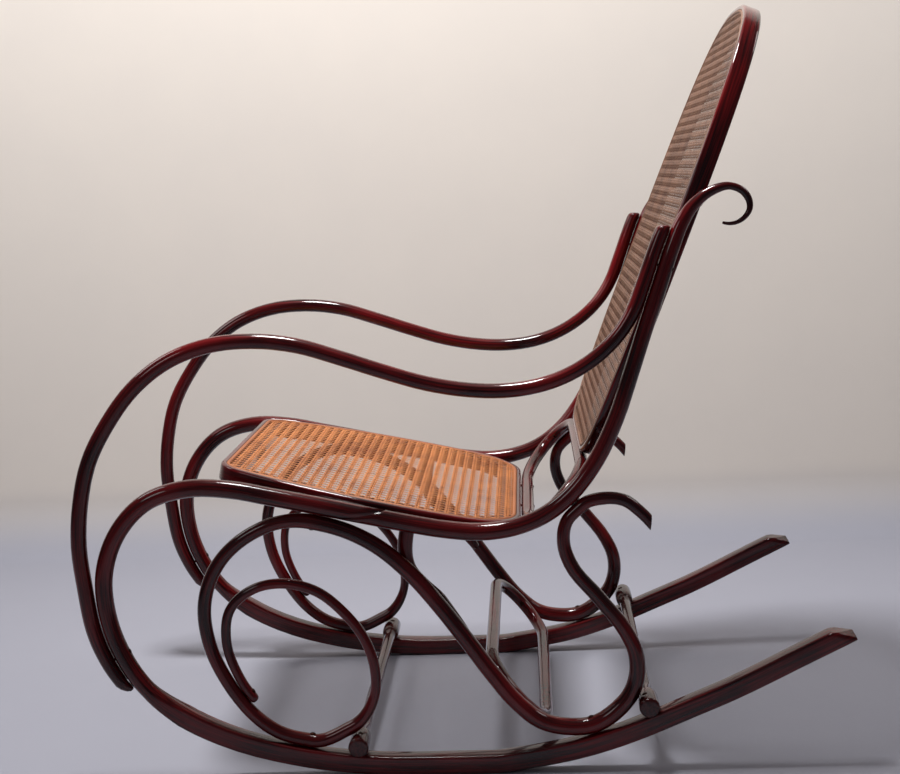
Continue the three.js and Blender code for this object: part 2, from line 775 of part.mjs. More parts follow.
const braceX = sideSpacing / 2 - Math.max(railThickness, scrollThickness) / 2 - fitGap - braceThickness / 2;
const braceKnots = row(braceShares, braceThickness, braceThickness);
const braceRun = seatUp.clone();
const braceStart = asDirection(braceKnots[0].point);
const seatUnderside = inPlane(seatPlane, flat(0, 0), -seatFrameThickness - fitGap);
const braceLift = seatUnderside.clone().sub(braceStart).dot(braceRun);
const braceTop = {
  ...braceKnots[0],
  point: braceKnots[0].point.clone().add(flat(braceRun.y, braceRun.z).multiplyScalar(braceLift)),
  heading: flat(-braceRun.y, -braceRun.z),
};
const bracePath = smoothPath([braceTop, ...braceKnots.slice(1), ...braceFeet]);

function fastenFromHost(name, knot, x, names) {
  const head = knot.host.point.clone().addScaledVector(knot.away, -knot.host.thickness / 2);
  fasten(name, inSide(x, head), asDirection(knot.away), knot.host.thickness + fitGap, names);
}

function fastenFromGuest(name, knot, x, names) {
  const head = knot.point.clone().addScaledVector(knot.away, knot.thickness / 2);
  fasten(name, inSide(x, head), asDirection(knot.away).negate(), knot.thickness + fitGap, names);
}

for (const { side, sign } of sides) {
  const x = sign * sideSpacing / 2;
  const plane = sidePlane(x);
  const runner = "runner_" + side;
  const post = "back_rod_" + side;
  const arm = "arm_" + side;
  const scroll = "scroll_" + side;
  const brace = "seat_brace_" + side;
  keep(runner, rod(runnerPath, plane, { start: tailCut, end: scarf }), wood);
  keep(post, rod(laidPost, plane, { start: scarf }), wood);
  keep(arm, rod(armPath, plane, { end: armCut }), wood);
  keep(scroll, rod(scrollPath, plane, { end: curlCut }), wood);
  keep(brace, rod(bracePath, sidePlane(sign * braceX)), wood);

  fastenFromHost("screw_arm_foot_" + side, armFeet[2], x, [runner, arm]);
  fastenFromHost("screw_arm_top_" + side, armTops[1], x, [post, arm]);
  fastenFromGuest("screw_scroll_front_" + side, scrollFrontFoot, x, [scroll, runner]);
  fastenFromGuest("screw_scroll_rear_" + side, scrollRearFoot, x, [scroll, runner]);
  fastenFromGuest("screw_scroll_rail_" + side, scrollTop, x, [scroll, runner]);
  fastenFromGuest("screw_scroll_post_" + side, curlJoint, x, [scroll, post]);
  fastenFromGuest("screw_scroll_tip_" + side, spiralJoint, x, [scroll]);

  const braceFoot = braceFeet[0];
  const outward = X.clone().multiplyScalar(sign);
  const braceFace = sign * (braceX - braceThickness / 2);
  const braceGrip = sideSpacing / 2 - scrollThickness / 2 - Math.abs(braceFace);
  fasten("screw_brace_" + side, inSide(braceFace, braceFoot.point), outward, braceGrip, [brace, scroll]);

  const seatScrewHeight = -seatRise - railThickness / 2;
  for (const [place, along] of [["front", -seatScrewSpacing / 2], ["rear", seatScrewSpacing / 2]]) {
    const innerEdge = reachAcross(seatOutline, seatFrameWidth, along);
    const head = inPlane(seatPlane, flat(sign * innerEdge, along), seatScrewHeight);
    const grip = frameHalfWidth + fitGap - innerEdge;
    fasten("screw_seat_" + place + "_" + side, head, outward, grip, ["seat_frame", runner, post]);
  }
  for (const [place, along] of [["low", backLowReach], ["high", backLowReach + backSpan]]) {
    const innerEdge = reachAcross(backOutline, backFrameWidth, along);
    const head = inPlane(backPlane, flat(sign * innerEdge, along), -backScrewDepth);
    const grip = frameHalfWidth + fitGap - innerEdge;
    fasten("screw_back_" + place + "_" + side, head, outward, grip, ["back_frame", post]);
  }
}

// Hoops

// A closed hoop outline: quarter ellipses between two straight bars, with the ellipses' own headings.
function hoopKnots(lowHalf, highHalf, sideHalf, halfHeight) {
  const knots = [];
  const quarters = [
    { x: lowHalf, signX: 1, signT: -1, rising: true },
    { x: highHalf, signX: 1, signT: 1, rising: false },
    { x: highHalf, signX: -1, signT: 1, rising: true },
    { x: lowHalf, signX: -1, signT: -1, rising: false },
  ];
  for (const { x, signX, signT, rising } of quarters) {
    for (let i = rising ? 0 : 1; i <= hoopCornerSteps; i += 1) {
      const share = rising ? i / hoopCornerSteps : 1 - i / hoopCornerSteps;
      const angle = quarterTurn * share;
      const point = flat(
        signX * (x + (sideHalf - x) * Math.sin(angle)),
        signT * halfHeight * Math.cos(angle),
      );
      const travel = flat(signX * (sideHalf - x) * Math.cos(angle), -signT * halfHeight * Math.sin(angle));
      const heading = travel.multiplyScalar(rising ? 1 : -1).normalize();
      knots.push({ point, heading, thickness: hoopThickness, corner: roundCornerShare });
    }
  }
  return knots.filter((knot, i, all) => knot.point.distanceTo(all[(i + 1) % all.length].point) > fitGap);
}

const hoopHalf = hoopThickness / 2;
const upperHoopSide = sideSpacing / 2 - railThickness / 2 - fitGap - hoopHalf;
const hoopCornerHalf = hoopHalf / Math.cos(Math.PI / 8);
const lowBar = inPlane(seatPlane, flat(0, seatRearReach + fitGap + hoopCornerHalf), -upperHoopSeatDepth);
const highBar = inPlane(backPlane, flat(0, -fitGap - hoopCornerHalf), -upperHoopBackDepth);
const upperHoopRise = highBar.clone().sub(lowBar);
const upperHoopPlane = {
  origin: lowBar.clone().addScaledVector(upperHoopRise, 1 / 2),
  first: X,
  second: upperHoopRise.clone().normalize(),
};
const upperHoopPath = smoothPath(
  hoopKnots(upperHoopLowHalf, upperHoopHighHalf, upperHoopSide, upperHoopRise.length() / 2),
  true,
);
keep("upper_hoop", rod(upperHoopPath, upperHoopPlane, { closed: true }), wood);

const lowerHoopSide = sideSpacing / 2 - scrollThickness / 2 - fitGap - hoopHalf;
const lowerHoopFoot = asDirection(placed(lowerHoopLowShare));
const lowerHoopRise = asDirection(placed(lowerHoopHighShare)).sub(lowerHoopFoot);
const lowerHoopPlane = {
  origin: lowerHoopFoot.clone().addScaledVector(lowerHoopRise, 1 / 2),
  first: X,
  second: lowerHoopRise.clone().normalize(),
};
const lowerHoopBar = lowerHoopSide - lowerHoopCorner;
const lowerHoopPath = smoothPath(
  hoopKnots(lowerHoopBar, lowerHoopBar, lowerHoopSide, lowerHoopRise.length() / 2),
  true,
);
keep("lower_hoop", rod(lowerHoopPath, lowerHoopPlane, { closed: true }), wood);

// The place on the inner face of a hoop's left side that lies nearest to a side rod.
function hoopMeeting(hoopPath, plane, rodPath) {
  const farthest = Math.max(...hoopPath.map(({ point }) => point.x));
  const left = hoopPath.filter(({ point }) => point.x > farthest - hoopHalf);
  const places = left.map(({ point }) => {
    const line = plane.origin.clone().addScaledVector(plane.second, point.y);
    const here = flat(line.y, line.z);
    return { line, across: point.x - hoopHalf, apart: nearestRun(rodPath, here).point.distanceTo(here) };
  });
  return places.reduce((best, place) => (place.apart < best.apart ? place : best));
}

const upperMeeting = hoopMeeting(upperHoopPath, upperHoopPlane, postPath);
const lowerMeeting = hoopMeeting(lowerHoopPath, lowerHoopPlane, scrollOuterPath);
for (const { side, sign } of sides) {
  const outward = X.clone().multiplyScalar(sign);
  const grip = hoopThickness + fitGap;
  const upperEdge = upperMeeting.line.clone().addScaledVector(outward, upperMeeting.across);
  fasten("screw_upper_hoop_" + side, upperEdge, outward, grip, ["upper_hoop", "back_rod_" + side]);
  const lowerEdge = lowerMeeting.line.clone().addScaledVector(outward, lowerMeeting.across);
  fasten("screw_lower_hoop_" + side, lowerEdge, outward, grip, ["lower_hoop", "scroll_" + side]);

  const behindBar = lowBar.clone().addScaledVector(seatAlong, hoopHalf);
  behindBar.addScaledVector(outward, seatHoopScrewHalf);
  const forward = seatAlong.clone().negate();
  fasten("screw_hoop_seat_" + side, behindBar, forward, grip, ["upper_hoop", "seat_frame"]);
  const belowBar = highBar.clone().addScaledVector(backUp, -hoopHalf);
  belowBar.addScaledVector(outward, backHoopScrewHalf);
  fasten("screw_hoop_back_" + side, belowBar, backUp, grip, ["upper_hoop", "back_frame"]);
}

// Stretchers

function stretcherProfile() {
  const end = sideSpacing / 2 + stretcherOverhang;
  const thick = stretcherEndThickness / 2;
  const slim = stretcherThickness / 2;
  const neck = end - stretcherEndLength;
  const half = [
    flat(0, end), flat(thick - stretcherDomeLength, end), flat(thick, end - stretcherDomeLength),
    flat(thick, neck), flat(slim, neck - stretcherDomeLength),
  ];
  const mirrored = [...half].reverse().map((point) => flat(point.x, -point.y));
  return [...half, ...mirrored];
}

function stretcher(name, rest) {
  const alongX = new THREE.Matrix4().makeBasis(Y, X, Z.clone().negate()).setPosition(asDirection(rest.point));
  keep(name, solidOf(new THREE.LatheGeometry(stretcherProfile(), stretcherSides), alongX), wood);
  for (const { side, sign } of sides) {
    fastenFromGuest("screw_" + name + "_" + side, rest, sign * sideSpacing / 2, [name, "runner_" + side]);
  }
}

// The rear stretcher slides along the runners to lie just behind the scrolls' rear loops.
const stretcherRestAt = (place) => touchingAt(runnerPath, place, -1, 1, stretcherEndThickness);
const rearmostLoop = Math.max(...rearKnots.map((knot) => knot.point.x));
const rearHeight = placed([0, rearStretcherHeightShare]).y;

function slideClear(rest) {
  const beside = nearest(scrollOuterPath, rest.point);
  const reach = (stretcherEndThickness + beside.thickness) / 2 + rearStretcherGap;
  const short = reach - beside.point.distanceTo(rest.point);
  return stretcherRestAt(rest.point.clone().add(flat(short, 0)));
}

const firstRest = stretcherRestAt(flat(rearmostLoop, rearHeight));
const rearStretcherRest = Array(slideRounds).fill(firstRest).reduce(slideClear);
stretcher("front_stretcher", frontStretcherRest);
stretcher("rear_stretcher", rearStretcherRest);

// Meshes

function meshFrom(name, solid, look) {
  const made = solid.getMesh();
  const geometry = new THREE.BufferGeometry()
    .setAttribute("position", new THREE.BufferAttribute(made.vertProperties, made.numProp))
    .setIndex(new THREE.BufferAttribute(made.triVerts, 1))
    .toNonIndexed();
  geometry.computeVertexNormals();
  const mesh = new THREE.Mesh(geometry, new THREE.MeshStandardMaterial(look));
  mesh.name = name;
  return mesh;
}

const chair = new THREE.Group();
chair.name = "rocking_chair";
for (const [name, { solid, look }] of pieces) {
  chair.add(meshFrom(name, solid, look));
}
const outer = new THREE.Box3().setFromObject(chair);
chair.position.y = -(outer.min.y + outer.max.y) / 2;

export default chair;
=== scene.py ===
"""Looks of the bentwood rocking chair: smooth lacquered rods, woven cane, cords, screws and a studio."""

import math
from dataclasses import dataclass

import bmesh
import bpy
import numpy as np
from bpy.props import FloatProperty, FloatVectorProperty, PointerProperty
from mathutils import Matrix, Vector


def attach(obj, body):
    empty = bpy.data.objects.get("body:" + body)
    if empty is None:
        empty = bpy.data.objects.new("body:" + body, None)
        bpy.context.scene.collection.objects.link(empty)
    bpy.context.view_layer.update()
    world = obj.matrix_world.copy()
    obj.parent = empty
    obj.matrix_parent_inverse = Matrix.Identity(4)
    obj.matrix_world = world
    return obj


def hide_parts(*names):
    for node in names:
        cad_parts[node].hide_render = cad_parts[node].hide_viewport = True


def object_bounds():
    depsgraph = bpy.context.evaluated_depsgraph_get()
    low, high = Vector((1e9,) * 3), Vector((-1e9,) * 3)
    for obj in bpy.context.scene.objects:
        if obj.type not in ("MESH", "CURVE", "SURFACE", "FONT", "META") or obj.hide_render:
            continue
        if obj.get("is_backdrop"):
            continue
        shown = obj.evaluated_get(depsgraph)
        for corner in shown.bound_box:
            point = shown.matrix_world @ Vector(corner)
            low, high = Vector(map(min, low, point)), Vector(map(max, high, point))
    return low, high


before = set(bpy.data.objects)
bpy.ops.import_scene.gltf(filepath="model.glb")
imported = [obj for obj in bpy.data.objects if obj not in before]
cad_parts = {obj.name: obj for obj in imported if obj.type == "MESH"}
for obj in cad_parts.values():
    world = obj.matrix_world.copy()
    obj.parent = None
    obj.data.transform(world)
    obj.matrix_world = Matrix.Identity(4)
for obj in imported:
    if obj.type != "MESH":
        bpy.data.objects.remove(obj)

bl_info = {
    "name": "Bentwood rocking chair",
    "version": (1, 0, 0),
    "blender": (4, 5, 0),
    "location": "View3D > Sidebar > Rocking chair",
    "description": "Builds the visible pieces of a caned bentwood rocking chair around its solid frame",
    "category": "Object",
}

CAD_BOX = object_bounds()
SIDES = (("left", 1), ("right", -1))

# Middle lines of the side rods as depth and height shares, the height over the resting runner.
TAIL = [
    (0.494, 0.2185), (0.44, 0.184), (0.338, 0.1187), (0.286, 0.09), (0.233, 0.061), (0.189, 0.04),
    (0.149, 0.0247), (0.113, 0.0148), (0.067, 0.005), (0.034, 0), (-0.061, 0), (-0.143, 0.0055),
    (-0.226, 0.0225), (-0.32, 0.061), (-0.37, 0.096),
]
LOOP = [
    (-0.4146, 0.1437), (-0.445, 0.208), (-0.461, 0.279), (-0.4613, 0.354), (-0.4403, 0.423),
    (-0.4008, 0.4745), (-0.348, 0.4955), (-0.292, 0.492), (-0.237, 0.4765), (-0.184, 0.461),
]
RAIL_FRONT = (-0.237, 0.4765)
RAIL_REAR = (-0.066, 0.4247)
RAIL_JOINT = (-0.123, 0.442)
POST = [
    (-0.066, 0.4247), (-0.02, 0.4125), (0.028, 0.406), (0.069, 0.412), (0.108, 0.431),
    (0.143, 0.466), (0.177, 0.524), (0.2025, 0.592), (0.2217, 0.663), (0.24, 0.734), (0.259, 0.804),
    (0.2775, 0.874),
]
HOOK_RISE = [(0.289, 0.91), (0.304, 0.939), (0.327, 0.961), (0.3505, 0.967)]
HOOK_CURL = [(0.368, 0.9535), (0.3728, 0.931), (0.3605, 0.9105), (0.339, 0.909)]
ARM_FOOT = [
    (-0.4375, 0.1425), (-0.4465, 0.161), (-0.463, 0.199), (-0.4695, 0.223), (-0.4765, 0.2455),
    (-0.4825, 0.28),
]
ARM_FOOT_TAPER = (0.41, 0.86, 0.95, 0.98, 1, 1)
ARM = [
    (-0.488, 0.325), (-0.492, 0.401), (-0.486, 0.475), (-0.471, 0.547), (-0.443, 0.612), (-0.407, 0.67),
    (-0.361, 0.714), (-0.308, 0.738), (-0.252, 0.743), (-0.196, 0.733), (-0.142, 0.71), (-0.089, 0.685),
    (-0.035, 0.662), (0.021, 0.648), (0.063, 0.645), (0.105, 0.651), (0.146, 0.669), (0.182, 0.698),
    (0.211, 0.736),
]
ARM_TOP = [(0.231, 0.8), (0.246, 0.85), (0.253, 0.8755), (0.2633, 0.911)]
ARM_TOP_TAPER = (1.1, 1.05, 1.02, 1)
SPIRAL_TIP = (-0.2765, 0.1155)
SPIRAL_JOINT = (-0.2845, 0.1295)
SPIRAL = [
    (-0.2975, 0.1732), (-0.308, 0.2275), (-0.3, 0.284), (-0.27, 0.317), (-0.229, 0.326), (-0.188, 0.311),
    (-0.154, 0.273), (-0.129, 0.226), (-0.117, 0.172),
]
SCROLL_DROP = [(-0.119, 0.124), (-0.151, 0.0672)]
SCROLL_FRONT_FOOT = (-0.203, 0.05)
SCROLL_LOOP = [
    (-0.247, 0.063), (-0.276, 0.0925), (-0.294, 0.1215), (-0.309, 0.1535), (-0.33, 0.222),
    (-0.333, 0.297), (-0.311, 0.366), (-0.268, 0.414), (-0.229, 0.433),
]
SCROLL_TOP = (-0.186, 0.44)
DIAGONAL = [
    (-0.149, 0.417), (-0.109, 0.389), (-0.067, 0.34), (-0.031, 0.282), (0.002, 0.221), (0.034, 0.159),
    (0.067, 0.103), (0.097, 0.071), (0.13, 0.06),
]
SCROLL_REAR_FOOT = (0.163, 0.063)
SCROLL_REAR = [
    (0.197, 0.0915), (0.213, 0.118), (0.221, 0.1535), (0.219, 0.191), (0.208, 0.225),
    (0.174, 0.2865), (0.1397, 0.3465), (0.132, 0.382), (0.1365, 0.4185),
]
CURL_JOINT = (0.157, 0.4455)
CURL = [(0.1835, 0.457), (0.211, 0.452), (0.229, 0.4335), (0.2434, 0.4125)]
BRACE = [(-0.0745, 0.372), (-0.067, 0.335), (-0.05, 0.307)]
BRACE_FOOT = [(-0.031, 0.28), (0.002, 0.219)]
FRONT_STRETCHER = (-0.1412, 0.04)
REAR_STRETCHER = (0.221, 0.095)
LOWER_HOOP_HIGH = (0.033, 0.157)
LOWER_HOOP_LOW = (0.103, 0.0485)

SQUARE = 0.3
ROUND = 1.0

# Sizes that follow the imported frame, in metres. SHIFT is how far the CAD moved the chair to centre its box.
SHIFT = 0.00153
FIT_GAP = 0.0003
LAP_GAP = 0.0013
CLOSED_LAP_GAP, CLOSED_LAP_GROWTH = 0.0002, 0.0011
BEND_GAP = 0.0012
REAR_STRETCHER_GAP = 0.0018
TAIL_CUT, CURL_CUT, ARM_CUT, SCARF_CUT = 0.028, 0.016, 0.0062, 0.06
SEAT_BOW, SEAT_FRONT_CORNER, SEAT_REAR_CORNER = 0.735, 0.048, 0.09
SEAT_FRONT_REACH, SEAT_REAR_REACH = 0.261, 0.169
BACK_BOW, BACK_BOW_HEIGHT, BACK_CORNER, BACK_SIDE_RUN = 0.6, 0.241, 0.112, 0.05
BACK_HEIGHT, BACK_ARCH, ARCH_POWER = 0.6669, 0.331, 2.8
BORDER, GROOVE, GROOVE_DEPTH, CANE_BED = 0.007, 0.006, 0.005, 0.0021
UPPER_HOOP_LOW_HALF, UPPER_HOOP_HIGH_HALF, LOWER_HOOP_CORNER = 0.115, 0.155, 0.068
HOOP_UNDER_SEAT, HOOP_BEHIND_BACK = 0.006, 0.008
STRETCHER_OVERHANG, STRETCHER_END_LENGTH, STRETCHER_DOME = 0.023, 0.054, 0.004
WALL_FOOT, WALL_BEND, WALL_TOP = -0.95, 0.12, 5.0

# Shares of a rod's half thickness: the widest rim, an end's flat face, and how far in a cut fades out
RIM_LIMIT, RIM_FACE, CUT_FADE = 0.85, 0.94, 3

# The weave: its depth in the frame, a strand's ends and the shortest strand that is drawn
WEAVE_DEPTH, STRAND_END_DEPTH, STRAND_END_RUN, SHORTEST_STRAND = 0.0009, 0.0004, 0.001, 0.01


# User's sizes and colours

def length(name, words, size):
    return FloatProperty(name=name, description=words, default=size, min=0, precision=4, unit="LENGTH")


def colour(name, words, value):
    return FloatVectorProperty(
        name=name, description=words, default=value, size=4, min=0, max=1, subtype="COLOR",
    )


class RockerSizes(bpy.types.PropertyGroup):
    """Sizes of the rods, the rings and the weave"""

    side_depth: length("Side depth", "Depth that the shares of the side rods follow", 1.06)
    side_height: length("Side height", "Height that the shares of the side rods follow", 0.8)
    side_spacing: length("Side spacing", "Distance between the middle planes of the two side frames", 0.53)
    runner: length("Runner", "Thickness of the squarish runner", 0.0265)
    loop: length("Front loop", "Thickness of the runner's big front loop", 0.024)
    rail: length("Rail", "Thickness of the seat rail and the lower back post", 0.025)
    post_top: length("Post top", "Thickness of the back post where the hook starts", 0.0208)
    hook_start: length("Hook start", "Thickness of the hook where it leaves the post", 0.0195)
    hook_crown: length("Hook crown", "Thickness of the hook at its crown", 0.01)
    hook_tip: length("Hook tip", "Thickness of the hook at its tip", 0.004)
    arm: length("Arm", "Thickness of the arm at its front", 0.022)
    arm_late: length("Arm rear", "Thickness of the arm where it rises to the back", 0.0195)
    arm_end: length("Arm end", "Thickness of the arm at its upper end", 0.0175)
    scroll: length("Scroll", "Thickness of the scroll at its rear foot", 0.024)
    scroll_top: length("Scroll top", "Thickness of the scroll under the rail", 0.0215)
    scroll_loop: length("Scroll loop", "Thickness of the scroll's outer loop", 0.019)
    scroll_inner: length("Spiral", "Thickness of the spiral at its rear", 0.0145)
    scroll_tip: length("Spiral tip", "Thickness of the spiral at its end", 0.0135)
    curl: length("Curl", "Thickness of the rear curl", 0.0175)
    curl_end: length("Curl end", "Thickness of the rear curl at its cut end", 0.0155)
    brace: length("Brace", "Thickness of the brace under the seat", 0.021)
    brace_tip: length("Brace tip", "Thickness of the brace at its foot", 0.014)
    hoop: length("Hoop", "Thickness of the two hoops", 0.019)
    stretcher: length("Stretcher", "Thickness of the stretchers between their ends", 0.017)
    stretcher_end: length("Stretcher end", "Thickness of the stretchers' turned ends", 0.028)
    seat_width: length("Seat frame width", "Width of the seat ring", 0.032)
    seat_thickness: length("Seat frame thickness", "Thickness of the seat ring", 0.025)
    back_width: length("Back frame width", "Width of the back ring", 0.03)
    back_thickness: length("Back frame thickness", "Thickness of the back ring", 0.025)
    cane_pitch: length("Cane pitch", "Distance from one hole of the weave to the next", 0.0139)
    pair_gap: length("Pair distance", "Distance between the middle lines of a pair of strands", 0.0032)
    strand_width: length("Strand width", "Width of one strand of cane", 0.0022)
    strand_lift: length("Strand lift", "How far a strand rises and falls in the weave", 0.00045)


class RockerColours(bpy.types.PropertyGroup):
    """Colours of the wood, the cane, the screws and the studio"""

    stain_dark: colour("Dark stain", "The wood's stain in its darker streaks", (0.016, 0.0005, 0.0006, 1))
    stain_red: colour("Red stain", "The wood's stain in its redder streaks", (0.15, 0.004, 0.005, 1))
    # Painted shade: the stretchers' red is darker than the rods' red, which paints the shade they sit in low
    # on the runners; the rest is their stain.
    stretcher_stain_and_shade: colour("Stretcher stain", "Redder streaks of the dark stretchers", (0.075, 0.007, 0.006, 1))
    seat_light: colour("Seat cane", "Light strands of the seat", (0.74, 0.27, 0.08, 1))
    seat_dark: colour("Seat cane, dark", "Dark strands of the seat", (0.2, 0.042, 0.011, 1))
    back_light: colour("Back cane", "Light strands of the back", (0.22, 0.105, 0.06, 1))
    back_dark: colour("Back cane, dark", "Dark strands of the back", (0.055, 0.019, 0.01, 1))
    seat_cord: colour("Seat cord", "The cord round the seat", (0.4, 0.13, 0.04, 1))
    seat_cord_dark: colour("Seat cord, dark", "Darker parts of the seat cord", (0.24, 0.06, 0.018, 1))
    brass: colour("Brass", "Metal of the screws", (0.05, 0.014, 0.009, 1))
    tarnish: colour("Tarnish", "Dark film on the screws", (0.02, 0.005, 0.004, 1))
    floor: colour("Floor", "The studio's floor", (0.33, 0.33, 0.38, 1))
    wall: colour("Wall", "The studio's wall", (0.75, 0.68, 0.61, 1))


# Shader maths

class Wire:
    """A value or colour on its way through a material; sums on values add Math nodes."""

    def __init__(self, shader, socket):
        self.shader = shader
        self.socket = socket

    def sum(self, operation, *values):
        return self.shader.add("ShaderNodeMath", {"operation": operation}, dict(enumerate(values)))["Value"]

    def __add__(self, other):
        return self.sum("ADD", self, other)

    def __radd__(self, other):
        return self.sum("ADD", other, self)

    def __rsub__(self, other):
        return self.sum("SUBTRACT", other, self)

    def __rmul__(self, other):
        return self.sum("MULTIPLY", other, self)

    def stretched(self, factors):
        """A vector times a vector."""
        node = self.shader.add("ShaderNodeVectorMath", {"operation": "MULTIPLY"}, {0: self, 1: factors})
        return node["Vector"]

    def between(self, low, high):
        """0 below low, 1 above high and a smooth step between them."""
        settings = {"interpolation_type": "SMOOTHSTEP"}
        values = {"Value": self, "From Min": low, "From Max": high}
        return self.shader.add("ShaderNodeMapRange", settings, values)["Result"]


class Outputs:
    """A node's outputs by name, as wires."""

    def __init__(self, shader, node):
        self.shader = shader
        self.node = node

    def __getitem__(self, name):
        return Wire(self.shader, self.node.outputs[name])


class Shader:
    """One material or world whose nodes are added from Python expressions."""

    def __init__(self, owner):
        owner.use_nodes = True
        self.tree = owner.node_tree
        self.tree.nodes.clear()

    def add(self, kind, settings=None, values=None):
        """A node of a kind: its settings are set first, then the values or wires of its sockets."""
        node = self.tree.nodes.new(kind)
        for key, value in (settings or {}).items():
            setattr(node, key, value)
        for key, value in (values or {}).items():
            if isinstance(value, Wire):
                self.tree.links.new(value.socket, node.inputs[key])
            else:
                node.inputs[key].default_value = value
        return Outputs(self, node)

    def place(self):
        return self.add("ShaderNodeTexCoord")["Object"]

    def grain(self):
        """Where a point lies along its piece and in its section, in metres."""
        return self.add("ShaderNodeAttribute", {"attribute_name": "grain"})["Vector"]

    def noise(self, vector, scale=1.0, detail=3.0, roughness=0.5, distortion=0.0):
        values = {
            "Vector": vector, "Scale": scale, "Detail": detail, "Roughness": roughness,
            "Distortion": distortion,
        }
        return self.add("ShaderNodeTexNoise", None, values)["Fac"]

    def mix(self, share, low, high):
        node = self.tree.nodes.new("ShaderNodeMix")
        node.data_type = "RGBA"
        sockets = {"Factor_Float": share, "A_Color": low, "B_Color": high}
        for socket in node.inputs:
            value = sockets.get(socket.identifier)
            if isinstance(value, Wire):
                self.tree.links.new(value.socket, socket)
            elif value is not None:
                socket.default_value = value
        return Wire(self, next(s for s in node.outputs if s.identifier == "Result_Color"))

    def bump(self, height, distance):
        return self.add("ShaderNodeBump", None, {"Height": height, "Distance": distance})["Normal"]

    def surface(self, **values):
        """Ends a material in one Principled node, whose sockets are named with underscores for spaces."""
        named = {key.replace("_", " "): value for key, value in values.items()}
        node = self.add("ShaderNodeBsdfPrincipled", None, named)
        self.add("ShaderNodeOutputMaterial", None, {"Surface": node["BSDF"]})


def material(name, build):
    """The material of a name, built once."""
    found = bpy.data.materials.get(name)
    if found is None:
        found = bpy.data.materials.new(name)
        build(Shader(found), bpy.context.scene.rocker_colours)
    return found


def lacquered_wood(red):
    """A builder of the wood's material from the name of its redder colour."""
    def build(shader, colours):
        grain = shader.grain()
        streaks = shader.noise(grain.stretched((9, 320, 320)), 1, 4, 0.6, 0.4)
        pores = shader.noise(grain.stretched((60, 2600, 2600)), 1, 2, 0.5)
        clouds = shader.noise(shader.place(), 7, 2, 0.5)
        redness = (0.55 * streaks + 0.45 * clouds).between(0.38, 0.66)
        shader.surface(
            Base_Color=shader.mix(redness, tuple(colours.stain_dark), tuple(getattr(colours, red))),
            Roughness=0.3 + 0.16 * streaks,
            Specular_IOR_Level=0.05,
            Normal=shader.bump(0.6 * streaks + 0.4 * pores, 0.00006),
            Coat_Weight=1.0,
            Coat_Roughness=0.07,
            Coat_IOR=1.42,
        )
    return build


def cane(light, dark, roughness):
    """A builder of the cane's material from the names of its two colours."""
    def build(shader, colours):
        grain = shader.grain()
        strands = shader.noise(grain.stretched((16, 30, 900)), 1, 2, 0.5)
        fibres = shader.noise(grain.stretched((90, 4200, 900)), 1, 2, 0.6)
        clouds = shader.noise(shader.place(), 9, 3, 0.6)
        tone = (0.45 * strands + 0.3 * fibres + 0.25 * clouds).between(0.36, 0.58)
        shader.surface(
            Base_Color=shader.mix(tone, tuple(getattr(colours, dark)), tuple(getattr(colours, light))),
            Roughness=roughness + 0.15 * fibres,
            Normal=shader.bump(fibres, 0.00008),
        )
    return build


def red_wood():
    return material("glossy_red_stain", lacquered_wood("stain_red"))


def brown_cane():
    return material("brown_cane", cane("back_light", "back_dark", 0.5))


def aged_brass(shader, colours):
    film = shader.noise(shader.place(), 900, 3, 0.6).between(0.35, 0.7)
    shader.surface(
        Base_Color=shader.mix(film, tuple(colours.brass), tuple(colours.tarnish)),
        Metallic=1.0,
        Roughness=0.4 + 0.2 * film,
    )


def studio_floor(shader, colours):
    up = shader.add("ShaderNodeSeparateXYZ", None, {"Vector": shader.place()})["Z"]
    mottle = shader.noise(shader.place(), 5, 4, 0.6)
    tone = shader.mix(up.between(0.0, 0.16), tuple(colours.floor), tuple(colours.wall))
    shade = tuple(0.9 * part for part in colours.floor[:3]) + (1,)
    shader.surface(
        Base_Color=shader.mix(0.12 * mottle, tone, shade),
        Roughness=0.7 + 0.15 * mottle,
        Specular_IOR_Level=0.2,
        Alpha=1.0 - shader.add("ShaderNodeNewGeometry")["Backfacing"],
    )


# Paths in a plane

@dataclass
class Knot:
    """A point that a rod's middle line runs through."""

    point: np.ndarray
    thickness: float
    roundness: float = ROUND
    heading: np.ndarray | None = None


@dataclass
class Path:
    """A smooth middle line as samples."""

    point: np.ndarray
    heading: np.ndarray
    thickness: np.ndarray
    roundness: np.ndarray

    def along(self):
        steps = np.linalg.norm(np.diff(self.point, axis=0), axis=1)
        return np.concatenate([[0], np.cumsum(steps)])

    def nearest(self, point):
        """The middle line's place nearest to a point, with its heading and thickness."""
        start = self.point[:-1]
        run = self.point[1:] - start
        way = np.clip(((point - start) * run).sum(1) / (run ** 2).sum(1), 0, 1)
        places = start + way[:, None] * run
        i = int(np.argmin(np.linalg.norm(places - point, axis=1)))
        thickness = self.thickness[i] + way[i] * (self.thickness[i + 1] - self.thickness[i])
        return Knot(places[i], thickness, heading=unit(run[i]))


def unit(vector):
    return vector / np.linalg.norm(vector)


def sideways(heading):
    return np.array([-heading[1], heading[0]])


def placed(share):
    sizes = bpy.context.scene.rocker_sizes
    return np.array([share[0] * sizes.side_depth, sizes.runner / 2 + share[1] * sizes.side_height])


def row(shares, start, end, from_round=ROUND, to_round=ROUND):
    """Knots through a table of shares, the thickness and the roundness changing evenly."""
    ways = np.linspace(0, 1, len(shares))
    return [
        Knot(placed(share), start + way * (end - start), from_round + way * (to_round - from_round))
        for share, way in zip(shares, ways)
    ]


